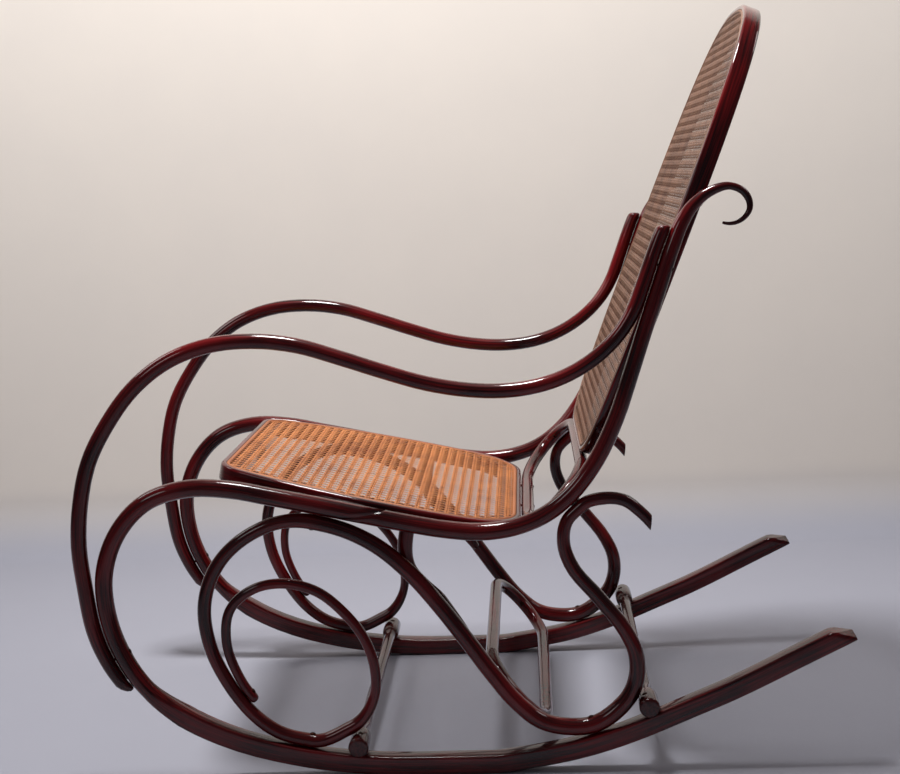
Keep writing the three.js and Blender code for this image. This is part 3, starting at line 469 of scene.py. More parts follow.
def headings(knots, closed):
    """The heading at each knot: its own, or that of the arc through its neighbours."""
    count = len(knots)
    points = [knot.point for knot in knots]
    found = []
    for i, knot in enumerate(knots):
        if knot.heading is not None:
            found.append(knot.heading)
        elif not closed and i in (0, count - 1):
            found.append(None)
        else:
            back = points[i] - points[i - 1]
            ahead = points[(i + 1) % count] - points[i]
            ratio = np.linalg.norm(ahead) / np.linalg.norm(back)
            found.append(unit(back * ratio + ahead / ratio))
    for end, inner in ((0, 1), (count - 1, count - 2)):
        if found[end] is None:
            chord = unit(points[inner] - points[end])
            found[end] = unit(2 * chord * chord.dot(found[inner]) - found[inner])
    return found


def smooth_path(knots, closed=False, finest=math.radians(3)):
    heads = headings(knots, closed)
    parts = []
    spans = len(knots) if closed else len(knots) - 1
    for i in range(spans):
        start, end = knots[i], knots[(i + 1) % len(knots)]
        first, last = heads[i], heads[(i + 1) % len(knots)]
        chord = np.linalg.norm(end.point - start.point)
        turn = math.acos(np.clip(first.dot(last), -1, 1))
        steps = max(4, math.ceil(turn / finest))
        u = (np.arange(steps + 1) / steps)[:, None]
        point = (
            (1 + 2 * u) * (1 - u) ** 2 * start.point + u * (1 - u) ** 2 * chord * first
            + u * u * (3 - 2 * u) * end.point + u * u * (u - 1) * chord * last
        )
        heading = (
            6 * u * (u - 1) * start.point + (1 - u) * (1 - 3 * u) * chord * first
            + 6 * u * (1 - u) * end.point + u * (3 * u - 2) * chord * last
        )
        heading /= np.linalg.norm(heading, axis=1)[:, None]
        thickness = start.thickness + u[:, 0] * (end.thickness - start.thickness)
        roundness = start.roundness + u[:, 0] * (end.roundness - start.roundness)
        keep = slice(0 if i == 0 else 1, steps if closed and i == spans - 1 else steps + 1)
        parts.append([item[keep] for item in (point, heading, thickness, roundness)])
    return Path(*(np.concatenate(items) for items in zip(*parts)))


def touching(host, place, side, sense, thickness, gap=FIT_GAP):
    """A knot that lies on a side of its host rod, with the host's heading or the opposite one."""
    at = host.nearest(place)
    away = sideways(at.heading) * side
    reach = (at.thickness + thickness) / 2 + gap
    return Knot(at.point + away * reach, thickness, heading=at.heading * sense)


# Meshes

def mesh_object(name, corners, faces, grain, finish, nodes, sharp=math.radians(40)):
    """A new piece with its grain, finish and body, which stands for CAD nodes."""
    mesh = bpy.data.meshes.new(name)
    mesh.from_pydata([tuple(corner) for corner in corners], [], faces)
    layer = mesh.attributes.new("grain", "FLOAT_VECTOR", "POINT")
    layer.data.foreach_set("vector", np.asarray(grain, np.float32).ravel())
    tidy = bmesh.new()
    tidy.from_mesh(mesh)
    bmesh.ops.recalc_face_normals(tidy, faces=tidy.faces)
    tidy.to_mesh(mesh)
    tidy.free()
    mesh.shade_smooth()
    if sharp:
        mesh.set_sharp_from_angle(angle=sharp)
    mesh.materials.append(finish)
    piece = bpy.data.objects.new(name, mesh)
    bpy.context.scene.collection.objects.link(piece)
    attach(piece, "root")
    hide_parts(*nodes)
    return piece


def tube_faces(rings, sides, closed):
    """Quads between rings of corners, with a fan at each open end round a last added corner."""
    i = np.arange(rings if closed else rings - 1)[:, None] * sides
    j = np.arange(sides)[None, :]
    k = (j + 1) % sides
    ahead = (i + sides) % (rings * sides)
    quads = np.stack([i + j, i + k, ahead + k, ahead + j], axis=-1).reshape(-1, 4)
    faces = quads.tolist()
    if not closed:
        last = (rings - 1) * sides
        start_middle = rings * sides
        faces += [[start_middle, (n + 1) % sides, n] for n in range(sides)]
        faces += [[start_middle + 1, last + n, last + (n + 1) % sides] for n in range(sides)]
    return faces


def rounded_square(roundness, per_corner=7):
    """The section of a rod of half width 1, as corners round its middle."""
    steps = np.linspace(0, 1, per_corner, endpoint=False)
    turns = (np.arange(4)[:, None] + steps + 0.5 / per_corner) * math.pi / 2
    quarter = np.arange(4) * math.pi / 2 + math.pi / 4
    centres = np.stack([np.sign(np.cos(quarter)), np.sign(np.sin(quarter))], axis=-1) * (1 - roundness)
    round_part = np.stack([np.cos(turns), np.sin(turns)], axis=-1) * roundness
    return (centres[:, None, :] + round_part).reshape(-1, 2)


def sweep(path, lift, across, start_cut=None, end_cut=None, closed=False, rim=(0.002, 0.002)):
    """Corners, faces and grain of a rod; a cut says how far an end runs on at each part of the section."""
    sections = [rounded_square(roundness) for roundness in path.roundness]
    half = path.thickness / 2
    along = path.along()
    corners, grain = [], []

    def ring(i, scale=1.0, shift=0.0, cut=None):
        section = sections[i] * half[i] * scale
        runs = shift + (cut(section[:, 0]) if cut else np.zeros(len(section)))
        normal = sideways(path.heading[i])
        flat = path.point[i] + section[:, :1] * normal + runs[:, None] * path.heading[i]
        corners.append(lift(flat) + section[:, 1:] * across)
        grain.append(np.column_stack([along[i] + runs, section]))

    turns = [math.pi / 2, math.pi / 3, math.pi / 6]
    count = len(path.point)
    first_rim, last_rim = min(rim[0], RIM_LIMIT * half[0]), min(rim[1], RIM_LIMIT * half[-1])
    first_share, last_share = first_rim / half[0], last_rim / half[-1]
    if not closed:
        ring(0, RIM_FACE * (1 - first_share), 0, start_cut)
        for turn in turns:
            ring(0, 1 - first_share * (1 - math.cos(turn)), first_rim * (1 - math.sin(turn)), start_cut)
    first = 0 if closed else int(np.searchsorted(along, first_rim + 1e-6))
    stop = count if closed else int(np.searchsorted(along, along[-1] - last_rim - 1e-6))
    for i in range(first, stop):
        start_way = max(0, 1 - along[i] / (CUT_FADE * half[0])) if start_cut else 0
        end_way = max(0, 1 - (along[-1] - along[i]) / (CUT_FADE * half[-1])) if end_cut else 0
        cut = None
        if start_way > 0:
            cut = lambda out, way=start_way: start_cut(out) * way
        if end_way > 0:
            cut = lambda out, way=end_way: end_cut(out) * way
        ring(i, cut=cut)
    if not closed:
        for turn in reversed(turns):
            scale, shift = 1 - last_share * (1 - math.cos(turn)), -last_rim * (1 - math.sin(turn))
            ring(count - 1, scale, shift, end_cut)
        ring(count - 1, RIM_FACE * (1 - last_share), 0, end_cut)
    rings = len(corners)
    sides = len(corners[0])
    corners = np.concatenate(corners)
    grain = np.concatenate(grain)
    if not closed:
        ends = np.stack([path.point[0], path.point[-1]])
        corners = np.vstack([corners, lift(ends)])
        grain = np.vstack([grain, [[along[0], 0, 0], [along[-1], 0, 0]]])
    return corners, tube_faces(rings, sides, closed), grain


def side_rod(name, path, x, node, **cuts):
    """A lacquered rod in a side frame's plane."""
    corners, faces, grain = sweep(
        path, lambda flat: np.column_stack([np.full(len(flat), x), flat]), np.array([1.0, 0, 0]), **cuts,
    )
    corners[:, 1] += SHIFT
    return mesh_object(name, corners, faces, grain, red_wood(), [node], sharp=0)


# The side frames' paths

def runner_path(sizes):
    heading = unit(placed(RAIL_REAR) - placed(RAIL_FRONT))
    joint = Knot(placed(RAIL_JOINT), sizes.rail, heading=heading)
    tail = row(TAIL, sizes.runner, sizes.runner, SQUARE, SQUARE)
    for (_, rise), knot in zip(TAIL, tail):
        if rise == 0:
            knot.heading = np.array([-1.0, 0.0])
    return smooth_path([*tail, *row(LOOP, sizes.loop, sizes.rail), joint]), joint


def post_path(sizes, joint):
    return smooth_path([
        joint,
        *row(POST, sizes.rail, sizes.post_top),
        *row(HOOK_RISE, sizes.hook_start, sizes.hook_crown),
        *row(HOOK_CURL, sizes.hook_crown, sizes.hook_tip),
    ])


def arm_path(sizes, runner, post):
    feet = [
        touching(runner, placed(share), 1, 1, sizes.arm * taper, LAP_GAP)
        for share, taper in zip(ARM_FOOT, ARM_FOOT_TAPER)
    ]
    tops = [
        touching(post, placed(share), 1, 1, sizes.arm_end * taper + CLOSED_LAP_GROWTH, CLOSED_LAP_GAP)
        for share, taper in zip(ARM_TOP, ARM_TOP_TAPER)
    ]
    return smooth_path([*feet, *row(ARM, sizes.arm, sizes.arm_late), *tops])


def scroll_paths(sizes, runner, post):
    """The scroll from its front foot to the curl, and whole with its spiral."""
    outer_knots = [
        touching(runner, placed(SCROLL_FRONT_FOOT), -1, 1, sizes.scroll_loop),
        *row(SCROLL_LOOP, sizes.scroll_loop, sizes.scroll_loop),
        touching(runner, placed(SCROLL_TOP), -1, 1, sizes.scroll_top),
        *row(DIAGONAL, sizes.scroll_top, sizes.scroll),
        touching(runner, placed(SCROLL_REAR_FOOT), -1, -1, sizes.scroll),
        *row(SCROLL_REAR, sizes.scroll, sizes.curl),
        touching(post, placed(CURL_JOINT), -1, 1, sizes.curl, LAP_GAP),
        *row(CURL, sizes.curl, sizes.curl_end),
    ]
    outer = smooth_path(outer_knots)
    bar = touching(runner, placed(FRONT_STRETCHER), -1, 1, sizes.stretcher_end).point
    drop, bend = row(SCROLL_DROP, sizes.scroll_inner, sizes.scroll_loop)
    away = unit(bend.point - bar)
    bend.point = bar + away * ((sizes.stretcher_end + bend.thickness) / 2 + BEND_GAP)
    bend.heading = sideways(away)
    whole = smooth_path([
        touching(outer, placed(SPIRAL_TIP), -1, 1, sizes.scroll_tip),
        touching(outer, placed(SPIRAL_JOINT), -1, 1, sizes.scroll_tip),
        *row(SPIRAL, sizes.scroll_tip, sizes.scroll_inner),
        drop,
        bend,
        *outer_knots,
    ])
    return outer, whole


def side_paths():
    sizes = bpy.context.scene.rocker_sizes
    runner, joint = runner_path(sizes)
    post = post_path(sizes, joint)
    outer, scroll = scroll_paths(sizes, runner, post)
    return {
        "runner": runner, "post": post, "arm": arm_path(sizes, runner, post),
        "outer": outer, "scroll": scroll,
    }


def stretcher_rests(sizes):
    """Where the two stretchers lie on the runners; the rear one slides back until it clears the scrolls."""
    paths = side_paths()

    def rest(place):
        return touching(paths["runner"], place, -1, 1, sizes.stretcher_end).point

    rear = rest(placed(REAR_STRETCHER))
    for _ in range(6):
        beside = paths["outer"].nearest(rear)
        clear = (sizes.stretcher_end + beside.thickness) / 2 + REAR_STRETCHER_GAP
        rear = rest(rear + np.array([clear - np.linalg.norm(beside.point - rear), 0]))
    return rest(placed(FRONT_STRETCHER)), rear


# The seat's and the back's planes and outlines

@dataclass
class Plane:
    """Where a flat ring lies: its origin, its two directions and its front normal."""

    origin: np.ndarray
    second: np.ndarray
    up: np.ndarray

    def lift(self, flat, height=0.0):
        flat = np.atleast_2d(flat)
        across = np.column_stack([flat[:, 0], np.zeros(len(flat)), np.zeros(len(flat))])
        heights = np.broadcast_to(np.asarray(height, float), (len(flat),))
        return self.origin + across + flat[:, 1:2] * self.second + heights[:, None] * self.up


def in_space(flat):
    return np.array([0.0, flat[0], flat[1]])


def stood(flat):
    """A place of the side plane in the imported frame, whose box is centred."""
    return in_space(flat) + [0, SHIFT, 0]


def corners_of(node):
    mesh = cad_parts[node].data
    found = np.empty(len(mesh.vertices) * 3)
    mesh.vertices.foreach_get("co", found)
    return found.reshape(-1, 3)


def ring_plane(node, facing):
    """The plane of a packed ring's outer face; its origin lies at the rear or lower edge."""
    corners = corners_of(node)
    up = np.linalg.svd(corners - corners.mean(0), full_matrices=False)[2][2]
    up *= np.sign(up @ facing)
    up[0] = 0
    up = unit(up)
    second = np.cross(up, (1, 0, 0))
    return Plane(up * (corners @ up).max(), second, up), corners @ second


def seat_plane():
    plane, runs = ring_plane("seat_frame", np.array([0, 0, 1]))
    plane.origin += plane.second * (runs.max() - SEAT_REAR_REACH)
    return plane


def back_plane():
    plane, runs = ring_plane("back_frame", np.array([0, -1, 0]))
    plane.origin += plane.second * runs.min()
    return plane


def arc(centre, radius, start, end, finest=math.radians(4)):
    """Points and outward normals along an arc."""
    steps = max(2, math.ceil(abs(end - start) / min(finest, 2 * math.acos(1 - 0.0001 / radius))))
    turns = np.linspace(start, end, steps + 1)
    normals = np.column_stack([np.cos(turns), np.sin(turns)])
    return np.hstack([np.array(centre) + radius * normals, normals])


def both_halves(half):
    """Half of an outline, completed by its mirror image."""
    whole = np.vstack([half, half[::-1] * np.array([-1, 1, -1, 1])])
    apart = np.linalg.norm(whole[:, :2] - np.roll(whole[:, :2], -1, axis=0), axis=1)
    return whole[apart > 1e-5]


def frame_half():
    sizes = bpy.context.scene.rocker_sizes
    return sizes.side_spacing / 2 - sizes.rail / 2 - FIT_GAP


def bow_corner(bow, edge, corner):
    """The corner arc that joins a straight edge at a depth to a bowed side."""
    inward = edge - math.copysign(corner, edge)
    centre = frame_half() - bow + math.sqrt((bow - corner) ** 2 - inward ** 2)
    return centre, inward, math.atan2(inward, centre - (frame_half() - bow))


def seat_outline():
    front = bow_corner(SEAT_BOW, -SEAT_FRONT_REACH, SEAT_FRONT_CORNER)
    rear = bow_corner(SEAT_BOW, SEAT_REAR_REACH, SEAT_REAR_CORNER)
    return both_halves(np.vstack([
        arc(front[:2], SEAT_FRONT_CORNER, -math.pi / 2, front[2]),
        arc((frame_half() - SEAT_BOW, 0), SEAT_BOW, front[2], rear[2])[1:-1],
        arc(rear[:2], SEAT_REAR_CORNER, rear[2], math.pi / 2),
    ]))


def back_outline():
    low = bow_corner(BACK_BOW, -BACK_BOW_HEIGHT, BACK_CORNER)
    turns = np.linspace(0, math.pi / 2, 45)
    across = np.cos(turns) ** (2 / ARCH_POWER)
    rise = np.sin(turns) ** (2 / ARCH_POWER)
    slopes = across ** (ARCH_POWER - 1) / frame_half(), rise ** (ARCH_POWER - 1) / BACK_ARCH
    normal = np.column_stack(slopes)
    normal /= np.linalg.norm(normal, axis=1)[:, None]
    top = np.column_stack([frame_half() * across, BACK_HEIGHT - BACK_ARCH + BACK_ARCH * rise, normal])
    return both_halves(np.vstack([
        arc((low[0], BACK_BOW_HEIGHT + low[1]), BACK_CORNER, -math.pi / 2, low[2]),
        arc((frame_half() - BACK_BOW, BACK_BOW_HEIGHT), BACK_BOW, low[2], 0)[1:],
        np.array([[frame_half(), BACK_BOW_HEIGHT + BACK_SIDE_RUN, 1, 0]]),
        top,
    ]))


def inset(outline, amount):
    return outline[:, :2] - outline[:, 2:] * amount


def fillet(section, radii, steps=3):
    """A closed section whose corners are rounded."""
    points = []
    section = np.asarray(section, float)
    for i, (corner, radius) in enumerate(zip(section, radii)):
        if not radius:
            points.append(corner)
            continue
        before, after = unit(section[i - 1] - corner), unit(section[(i + 1) % len(section)] - corner)
        half = math.acos(np.clip(before.dot(after), -1, 1)) / 2
        centre = corner + unit(before + after) * radius / math.sin(half)
        start = corner + before * radius / math.tan(half) - centre
        end = corner + after * radius / math.tan(half) - centre
        for way in np.linspace(0, 1, steps + 1):
            points.append(centre + radius * unit(start * (1 - way) + end * way))
    return np.array(points)


def ring_piece(name, outline, plane, section, finish, node):
    """A section of insets and heights swept round an outline."""
    sides = len(section)
    corners = np.stack([plane.lift(inset(outline, amount), height) for amount, height in section], axis=1)
    run = np.linalg.norm(np.diff(outline[:, :2], axis=0), axis=1)
    along = np.concatenate([[0], np.cumsum(run)])
    along = np.minimum(along, along[-1] - along)
    grain = np.concatenate([
        np.column_stack([np.full(sides, place), section]) for place in along
    ])
    faces = tube_faces(len(outline), sides, True)
    return mesh_object(
        name, corners.reshape(-1, 3), faces, grain, finish, [node], sharp=math.radians(35),
    )


def frame_section(width, thickness):
    return fillet(
        [
            (0, -thickness), (0, 0), (BORDER, 0), (BORDER, -GROOVE_DEPTH), (BORDER + GROOVE, -GROOVE_DEPTH),
            (BORDER + GROOVE, -CANE_BED), (width, -CANE_BED), (width, -thickness),
        ],
        (0.0035, 0.0035, 0.0006, 0, 0, 0.0004, 0.0015, 0.0035),
    )


def cord_section():
    """The cord in the groove: flat below, round above."""
    middle, half = BORDER + GROOVE / 2, GROOVE / 2 - FIT_GAP
    shoulder, rise, foot = -0.0012, 0.0019, FIT_GAP - GROOVE_DEPTH
    turns = np.linspace(0, math.pi, 9)
    crown = np.column_stack([middle - half * np.cos(turns), shoulder + rise * np.sin(turns)])
    return np.vstack([[(middle - half, foot)], crown, [(middle + half, foot)]])


# Woven cane

def reach(polygon, start, direction):
    """Where a straight line enters and leaves a convex polygon, along the line."""
    normal = np.array([-direction[1], direction[0]])
    offsets = (polygon - start) @ normal
    after = np.roll(offsets, -1)
    crossing = (offsets > 0) != (after > 0)
    if crossing.sum() < 2:
        return None
    way = offsets[crossing] / (offsets[crossing] - after[crossing])
    ends = np.roll(polygon, -1, axis=0)[crossing]
    hits = polygon[crossing] + way[:, None] * (ends - polygon[crossing])
    along = (hits - start) @ direction
    return along.min(), along.max()


def strand(polygon, start, direction, places, heights):
    """One strand's points in the plane and their heights, from edge to edge of the polygon."""
    ends = reach(polygon, start, direction)
    if ends is None or ends[1] - ends[0] < SHORTEST_STRAND:
        return None
    inside = (places > ends[0] + STRAND_END_RUN) & (places < ends[1] - STRAND_END_RUN)
    runs = np.concatenate([[ends[0]], places[inside], [ends[1]]])
    lifts = np.concatenate([[-STRAND_END_DEPTH], heights[inside], [-STRAND_END_DEPTH]])
    return start + runs[:, None] * direction, lifts, direction


def weave(polygon, sizes):
    """The strands of a sheet with eight-sided holes: pairs both ways and two sets of diagonals."""
    pitch, half_gap, lift = sizes.cane_pitch, sizes.pair_gap / 2, sizes.strand_lift
    low, high = polygon.min(0), polygon.max(0)
    middle = (low + high) / 2
    counts = np.ceil((high - low) / 2 / pitch).astype(int) + 1
    sets = {"lengthwise": [], "crosswise": [], "diagonal": []}
    for axis, name in ((0, "lengthwise"), (1, "crosswise")):
        direction = np.array([0.0, 1.0]) if axis == 0 else np.array([1.0, 0.0])
        across = direction[::-1]
        cells = np.arange(-counts[1 - axis], counts[1 - axis] + 1)[:, None] * pitch
        places = (cells + np.array([-half_gap, half_gap, pitch / 2 - half_gap, pitch / 2 + half_gap])).ravel()
        for cell in range(-counts[axis], counts[axis] + 1):
            for side in (-1, 1):
                start = middle + across * (cell * pitch + side * half_gap)
                over = 1 if axis == 0 else -1
                pattern = np.array([-side * over, side * over, -side, side]) * lift
                sets[name].append(strand(polygon, start, direction, places, np.tile(pattern, len(cells))))
    slant = math.sqrt(0.5)
    most = int(counts.sum())
    steps = np.arange(-2 * most, 2 * most + 1)
    for rise in (1, -1):
        direction = np.array([slant, slant * rise])
        places = ((steps * pitch / 2)[:, None] + np.array([-half_gap, half_gap])).ravel() / slant
        heights = np.where(steps % 2 == 0, rise, -rise)[:, None] * np.ones(2) * lift
        for k in range(-most, most):
            start = middle + np.array([0.0, -rise * (k + 0.5) * pitch])
            sets["diagonal"].append(strand(polygon, start, direction, places, heights.ravel()))
    return {name: [item for item in items if item] for name, items in sets.items()}


def woven_sheet(name, outline, plane, finish, node):
    """The pieces of a woven sheet, one for each set of strands."""
    sizes = bpy.context.scene.rocker_sizes
    polygon = inset(outline, BORDER + GROOVE - 0.001)
    half = sizes.strand_width / 2
    section = np.array([(-half, -0.0002), (0, 0.0003), (half, -0.0002)])
    for set_name, strands in weave(polygon, sizes).items():
        corners, faces, grain = [], [], []
        for number, (points, lifts, direction) in enumerate(strands):
            side = np.array([direction[1], -direction[0]])
            base = sum(len(part) for part in corners)
            rings = np.stack([
                plane.lift(points + across * side, lifts + height - WEAVE_DEPTH) for across, height in section
            ], axis=1)
            corners.append(rings.reshape(-1, 3))
            along = points @ direction
            grain.append(np.column_stack([
                np.repeat(along, 3), np.tile(section[:, 0], len(points)),
                np.full(3 * len(points), number * 0.37),
            ]))
            i = base + 3 * np.arange(len(points) - 1)[:, None]
            j = np.arange(3)[None, :]
            k = (j + 1) % 3
            faces.extend(np.stack([i + j, i + k, i + 3 + k, i + 3 + j], axis=-1).reshape(-1, 4).tolist())
            last = base + 3 * (len(points) - 1)
            faces.extend([[base + 2, base + 1, base], [last, last + 1, last + 2]])
        mesh_object(
            name + "_" + set_name, np.concatenate(corners), faces, np.concatenate(grain),
            finish, [node], sharp=0,
        )


# Turned pieces

def lathe(profile, sides):
    """Corners and faces of a profile turned about Z; its first and last radius are zero."""
    turns = np.arange(sides) * 2 * math.pi / sides
    rings = [
        np.column_stack([radius * np.cos(turns), radius * np.sin(turns), np.full(sides, place)])
        for radius, place in profile[1:-1]
    ]
    ends = np.array([(0, 0, profile[0][1]), (0, 0, profile[-1][1])])
    return np.vstack([*rings, ends]), tube_faces(len(rings), sides, False)


def cut_slot(corners, faces, half, depth, top):
    """A straight slot sunk into the head of a screw."""
    tool = bmesh.new()
    for corner in corners:
        tool.verts.new(corner)
    tool.verts.ensure_lookup_table()
    for face in faces:
        tool.faces.new([tool.verts[i] for i in face])
    bmesh.ops.recalc_face_normals(tool, faces=tool.faces)
    for sign in (-1, 1):
        parts = [*tool.verts, *tool.edges, *tool.faces]
        bmesh.ops.bisect_plane(tool, geom=parts, plane_co=(sign * half, 0, 0), plane_no=(1, 0, 0))
    strip = [
        face for face in tool.faces
        if abs(face.calc_center_median().x) < half and face.calc_center_median().z > top
        and face.normal.z > 0.1
    ]
    grown = bmesh.ops.extrude_face_region(tool, geom=strip)
    moved = [item for item in grown["geom"] if isinstance(item, bmesh.types.BMVert)]
    for vert in moved:
        vert.co.z -= depth
    bmesh.ops.delete(tool, geom=strip, context="FACES")
    tool.verts.index_update()
    places = [tuple(vert.co) for vert in tool.verts]
    sides = [[vert.index for vert in face.verts] for face in tool.faces]
    tool.free()
    return places, sides


def screw_shape(length):
    """A slotted round-head screw with its head's top at the origin and its shank along -Z."""
    profile = [
        (0, -length), (0.0008, -length), (0.0019, -length + 0.003), (0.0019, -0.0024), (0.0042, -0.0024),
        (0.0042, -0.0019), (0.0039, -0.0012), (0.0032, -0.0006), (0.0019, -0.0001), (0.0008, 0.0), (0, 0.0),
    ]
    corners, faces = lathe(profile, 20)
    return cut_slot(corners, faces, half=0.0005, depth=0.0009, top=-0.0015)


# Operators

class RockerPiece:
    """What every operator of this panel shares."""

    bl_options = {"REGISTER", "UNDO"}

    def execute(self, context):
        self.build(context.scene.rocker_sizes)
        return {"FINISHED"}


class ROCKER_OT_rods(RockerPiece, bpy.types.Operator):
    """Bend the runners, the back rods, the arms, the scrolls and the seat braces"""

    bl_idname = "rocker.rods"
    bl_label = "Side rods"

    def build(self, sizes):
        paths = side_paths()
        tail = lambda out: np.maximum(0, -out) * (2 * TAIL_CUT / sizes.runner)
        curl = lambda out: -out * (CURL_CUT / sizes.curl_end)
        arm = lambda out: -out * (ARM_CUT / sizes.arm_end)
        slant = SCARF_CUT / sizes.rail
        scarf = lambda out: out * slant
        plane = seat_plane()
        brace_x = sizes.side_spacing / 2 - max(sizes.rail, sizes.scroll) / 2 - FIT_GAP - sizes.brace / 2
        knots = row(BRACE, sizes.brace, sizes.brace)
        under_seat = plane.lift((0, 0), -sizes.seat_thickness - FIT_GAP)[0]
        lift = (under_seat - in_space(knots[0].point) - [0, SHIFT, 0]) @ plane.up
        top = Knot(knots[0].point + plane.up[1:] * lift, sizes.brace, heading=-plane.up[1:])
        feet = [paths["outer"].nearest(placed(share)) for share in BRACE_FOOT]
        feet = [
            Knot(foot.point, thickness, heading=foot.heading)
            for foot, thickness in zip(feet, (sizes.brace, sizes.brace_tip))
        ]
        brace = smooth_path([top, *knots[1:], *feet])
        for side, sign in SIDES:
            x = sign * sizes.side_spacing / 2
            side_rod(
                "runner_rod_" + side, paths["runner"], x, "runner_" + side,
                start_cut=tail, end_cut=scarf, rim=(0.0015, 0.0001),
            )
            side_rod(
                "post_rod_" + side, paths["post"], x, "back_rod_" + side,
                start_cut=scarf, rim=(0.0001, 0.0018),
            )
            side_rod("arm_rod_" + side, paths["arm"], x, "arm_" + side, end_cut=arm, rim=(0.0035, 0.0055))
            side_rod(
                "scroll_rod_" + side, paths["scroll"], x, "scroll_" + side,
                end_cut=curl, rim=(0.0057, 0.0015),
            )
            side_rod("brace_rod_" + side, brace, sign * brace_x, "seat_brace_" + side, rim=(0.001, 0.004))


class ROCKER_OT_rings(RockerPiece, bpy.types.Operator):
    """Bend the seat ring and the back ring"""

    bl_idname = "rocker.rings"
    bl_label = "Seat and back rings"

    def build(self, sizes):
        wood = red_wood()
        seat = frame_section(sizes.seat_width, sizes.seat_thickness)
        back = frame_section(sizes.back_width, sizes.back_thickness)
        ring_piece("seat_ring", seat_outline(), seat_plane(), seat, wood, "seat_frame")
        ring_piece("back_ring", back_outline(), back_plane(), back, wood, "back_frame")


class ROCKER_OT_cane(RockerPiece, bpy.types.Operator):
    """Weave the cane of the seat and the back"""

    bl_idname = "rocker.cane"
    bl_label = "Woven cane"

    def build(self, sizes):
        honey = material("honey_cane", cane("seat_light", "seat_dark", 0.42))
        woven_sheet("seat_weave", seat_outline(), seat_plane(), honey, "seat_cane")
        woven_sheet("back_weave", back_outline(), back_plane(), brown_cane(), "back_cane")


class ROCKER_OT_cords(RockerPiece, bpy.types.Operator):
    """Press the cords into the grooves over the edges of the cane"""

    bl_idname = "rocker.cords"
    bl_label = "Cords"

    def build(self, sizes):
        honey = material("honey_cord", cane("seat_cord", "seat_cord_dark", 0.42))
        section = cord_section()
        ring_piece("seat_cord", seat_outline(), seat_plane(), section, honey, "seat_spline")
        ring_piece("back_cord", back_outline(), back_plane(), section, brown_cane(), "back_spline")


def hoop_knots(low_half, high_half, side_half, half_height, thickness):
    """A closed outline: quarter ellipses between two straight bars and two sides."""
    knots = []
    quarters = [
        (low_half, 1, -1, True), (high_half, 1, 1, False),
        (high_half, -1, 1, True), (low_half, -1, -1, False),
    ]
    for x, sign_x, sign_t, rising in quarters:
        for i in range(0 if rising else 1, 5):
            share = i / 4 if rising else 1 - i / 4
            turn = share * math.pi / 2
            sine, cosine = math.sin(turn), math.cos(turn)
            point = np.array([sign_x * (x + (side_half - x) * sine), sign_t * half_height * cosine])
            travel = np.array([sign_x * (side_half - x) * cosine, -sign_t * half_height * sine])
            knots.append(Knot(point, thickness, heading=unit(travel) * (1 if rising else -1)))
    apart = [np.linalg.norm(knot.point - knots[(i + 1) % len(knots)].point) for i, knot in enumerate(knots)]
    return [knot for knot, distance in zip(knots, apart) if distance > FIT_GAP]


class ROCKER_OT_hoops(RockerPiece, bpy.types.Operator):
    """Bend the hoop behind the seat and the hoop between the scrolls"""

    bl_idname = "rocker.hoops"
    bl_label = "Hoops"

    def build(self, sizes):
        half = sizes.hoop / 2
        corner_half = half / math.cos(math.pi / 8)
        low = seat_plane().lift((0, SEAT_REAR_REACH + FIT_GAP + corner_half), -HOOP_UNDER_SEAT)[0]
        high = back_plane().lift((0, -FIT_GAP - corner_half), -HOOP_BEHIND_BACK)[0]
        upper_side = frame_half() - half
        lower_side = sizes.side_spacing / 2 - sizes.scroll / 2 - FIT_GAP - half
        foot, head = stood(placed(LOWER_HOOP_LOW)), stood(placed(LOWER_HOOP_HIGH))
        bar = lower_side - LOWER_HOOP_CORNER
        for name, start, end, low_half, high_half, side_half in (
            ("upper_hoop", low, high, UPPER_HOOP_LOW_HALF, UPPER_HOOP_HIGH_HALF, upper_side),
            ("lower_hoop", foot, head, bar, bar, lower_side),
        ):
            rise = end - start
            plane = Plane((start + end) / 2, unit(rise), np.cross([1, 0, 0], unit(rise)))
            knots = hoop_knots(low_half, high_half, side_half, np.linalg.norm(rise) / 2, sizes.hoop)
            corners, faces, grain = sweep(smooth_path(knots, True), plane.lift, plane.up, closed=True)
            mesh_object(name + "_rod", corners, faces, grain, red_wood(), [name], sharp=0)


class ROCKER_OT_stretchers(RockerPiece, bpy.types.Operator):
    """Turn the two stretchers with their thick round ends"""

    bl_idname = "rocker.stretchers"
    bl_label = "Stretchers"

    def build(self, sizes):
        thick, slim = sizes.stretcher_end / 2, sizes.stretcher / 2
        end = sizes.side_spacing / 2 + STRETCHER_OVERHANG
        neck = end - STRETCHER_END_LENGTH
        dome = [
            (thick - STRETCHER_DOME * (1 - math.cos(turn)), end - STRETCHER_DOME * (1 - math.sin(turn)))
            for turn in np.linspace(0, 1.4, 6)
        ]
        middle = [(slim * 1.05, along) for along in np.linspace(0, neck - 0.03, 8)[1:]]
        half = [
            (slim * 1.08, 0.0), *middle, (slim, neck - 0.004), (slim * 1.12, neck - 0.0025),
            (thick * 0.88, neck + 0.001), (thick * 0.95, neck + 0.006), (thick, neck + 0.016), *dome,
        ]
        profile = [(0, -end), *[(r, -z) for r, z in reversed(half)][:-1], *half, (0, end)]
        corners, faces = lathe(profile, 40)
        for name, rest in zip(("front_stretcher", "rear_stretcher"), stretcher_rests(sizes)):
            grain = np.column_stack([corners[:, 2], corners[:, 0], corners[:, 1]])
            turned = grain + stood(rest)
            # The stretchers get a darker copy of the wood material, which paints shade on them.
            wood = material("stretcher_stain_painted_shade", lacquered_wood("stretcher_stain_and_shade"))
            mesh_object(
                name + "_bar", turned, faces, grain, wood, [name], sharp=math.radians(50),
            )


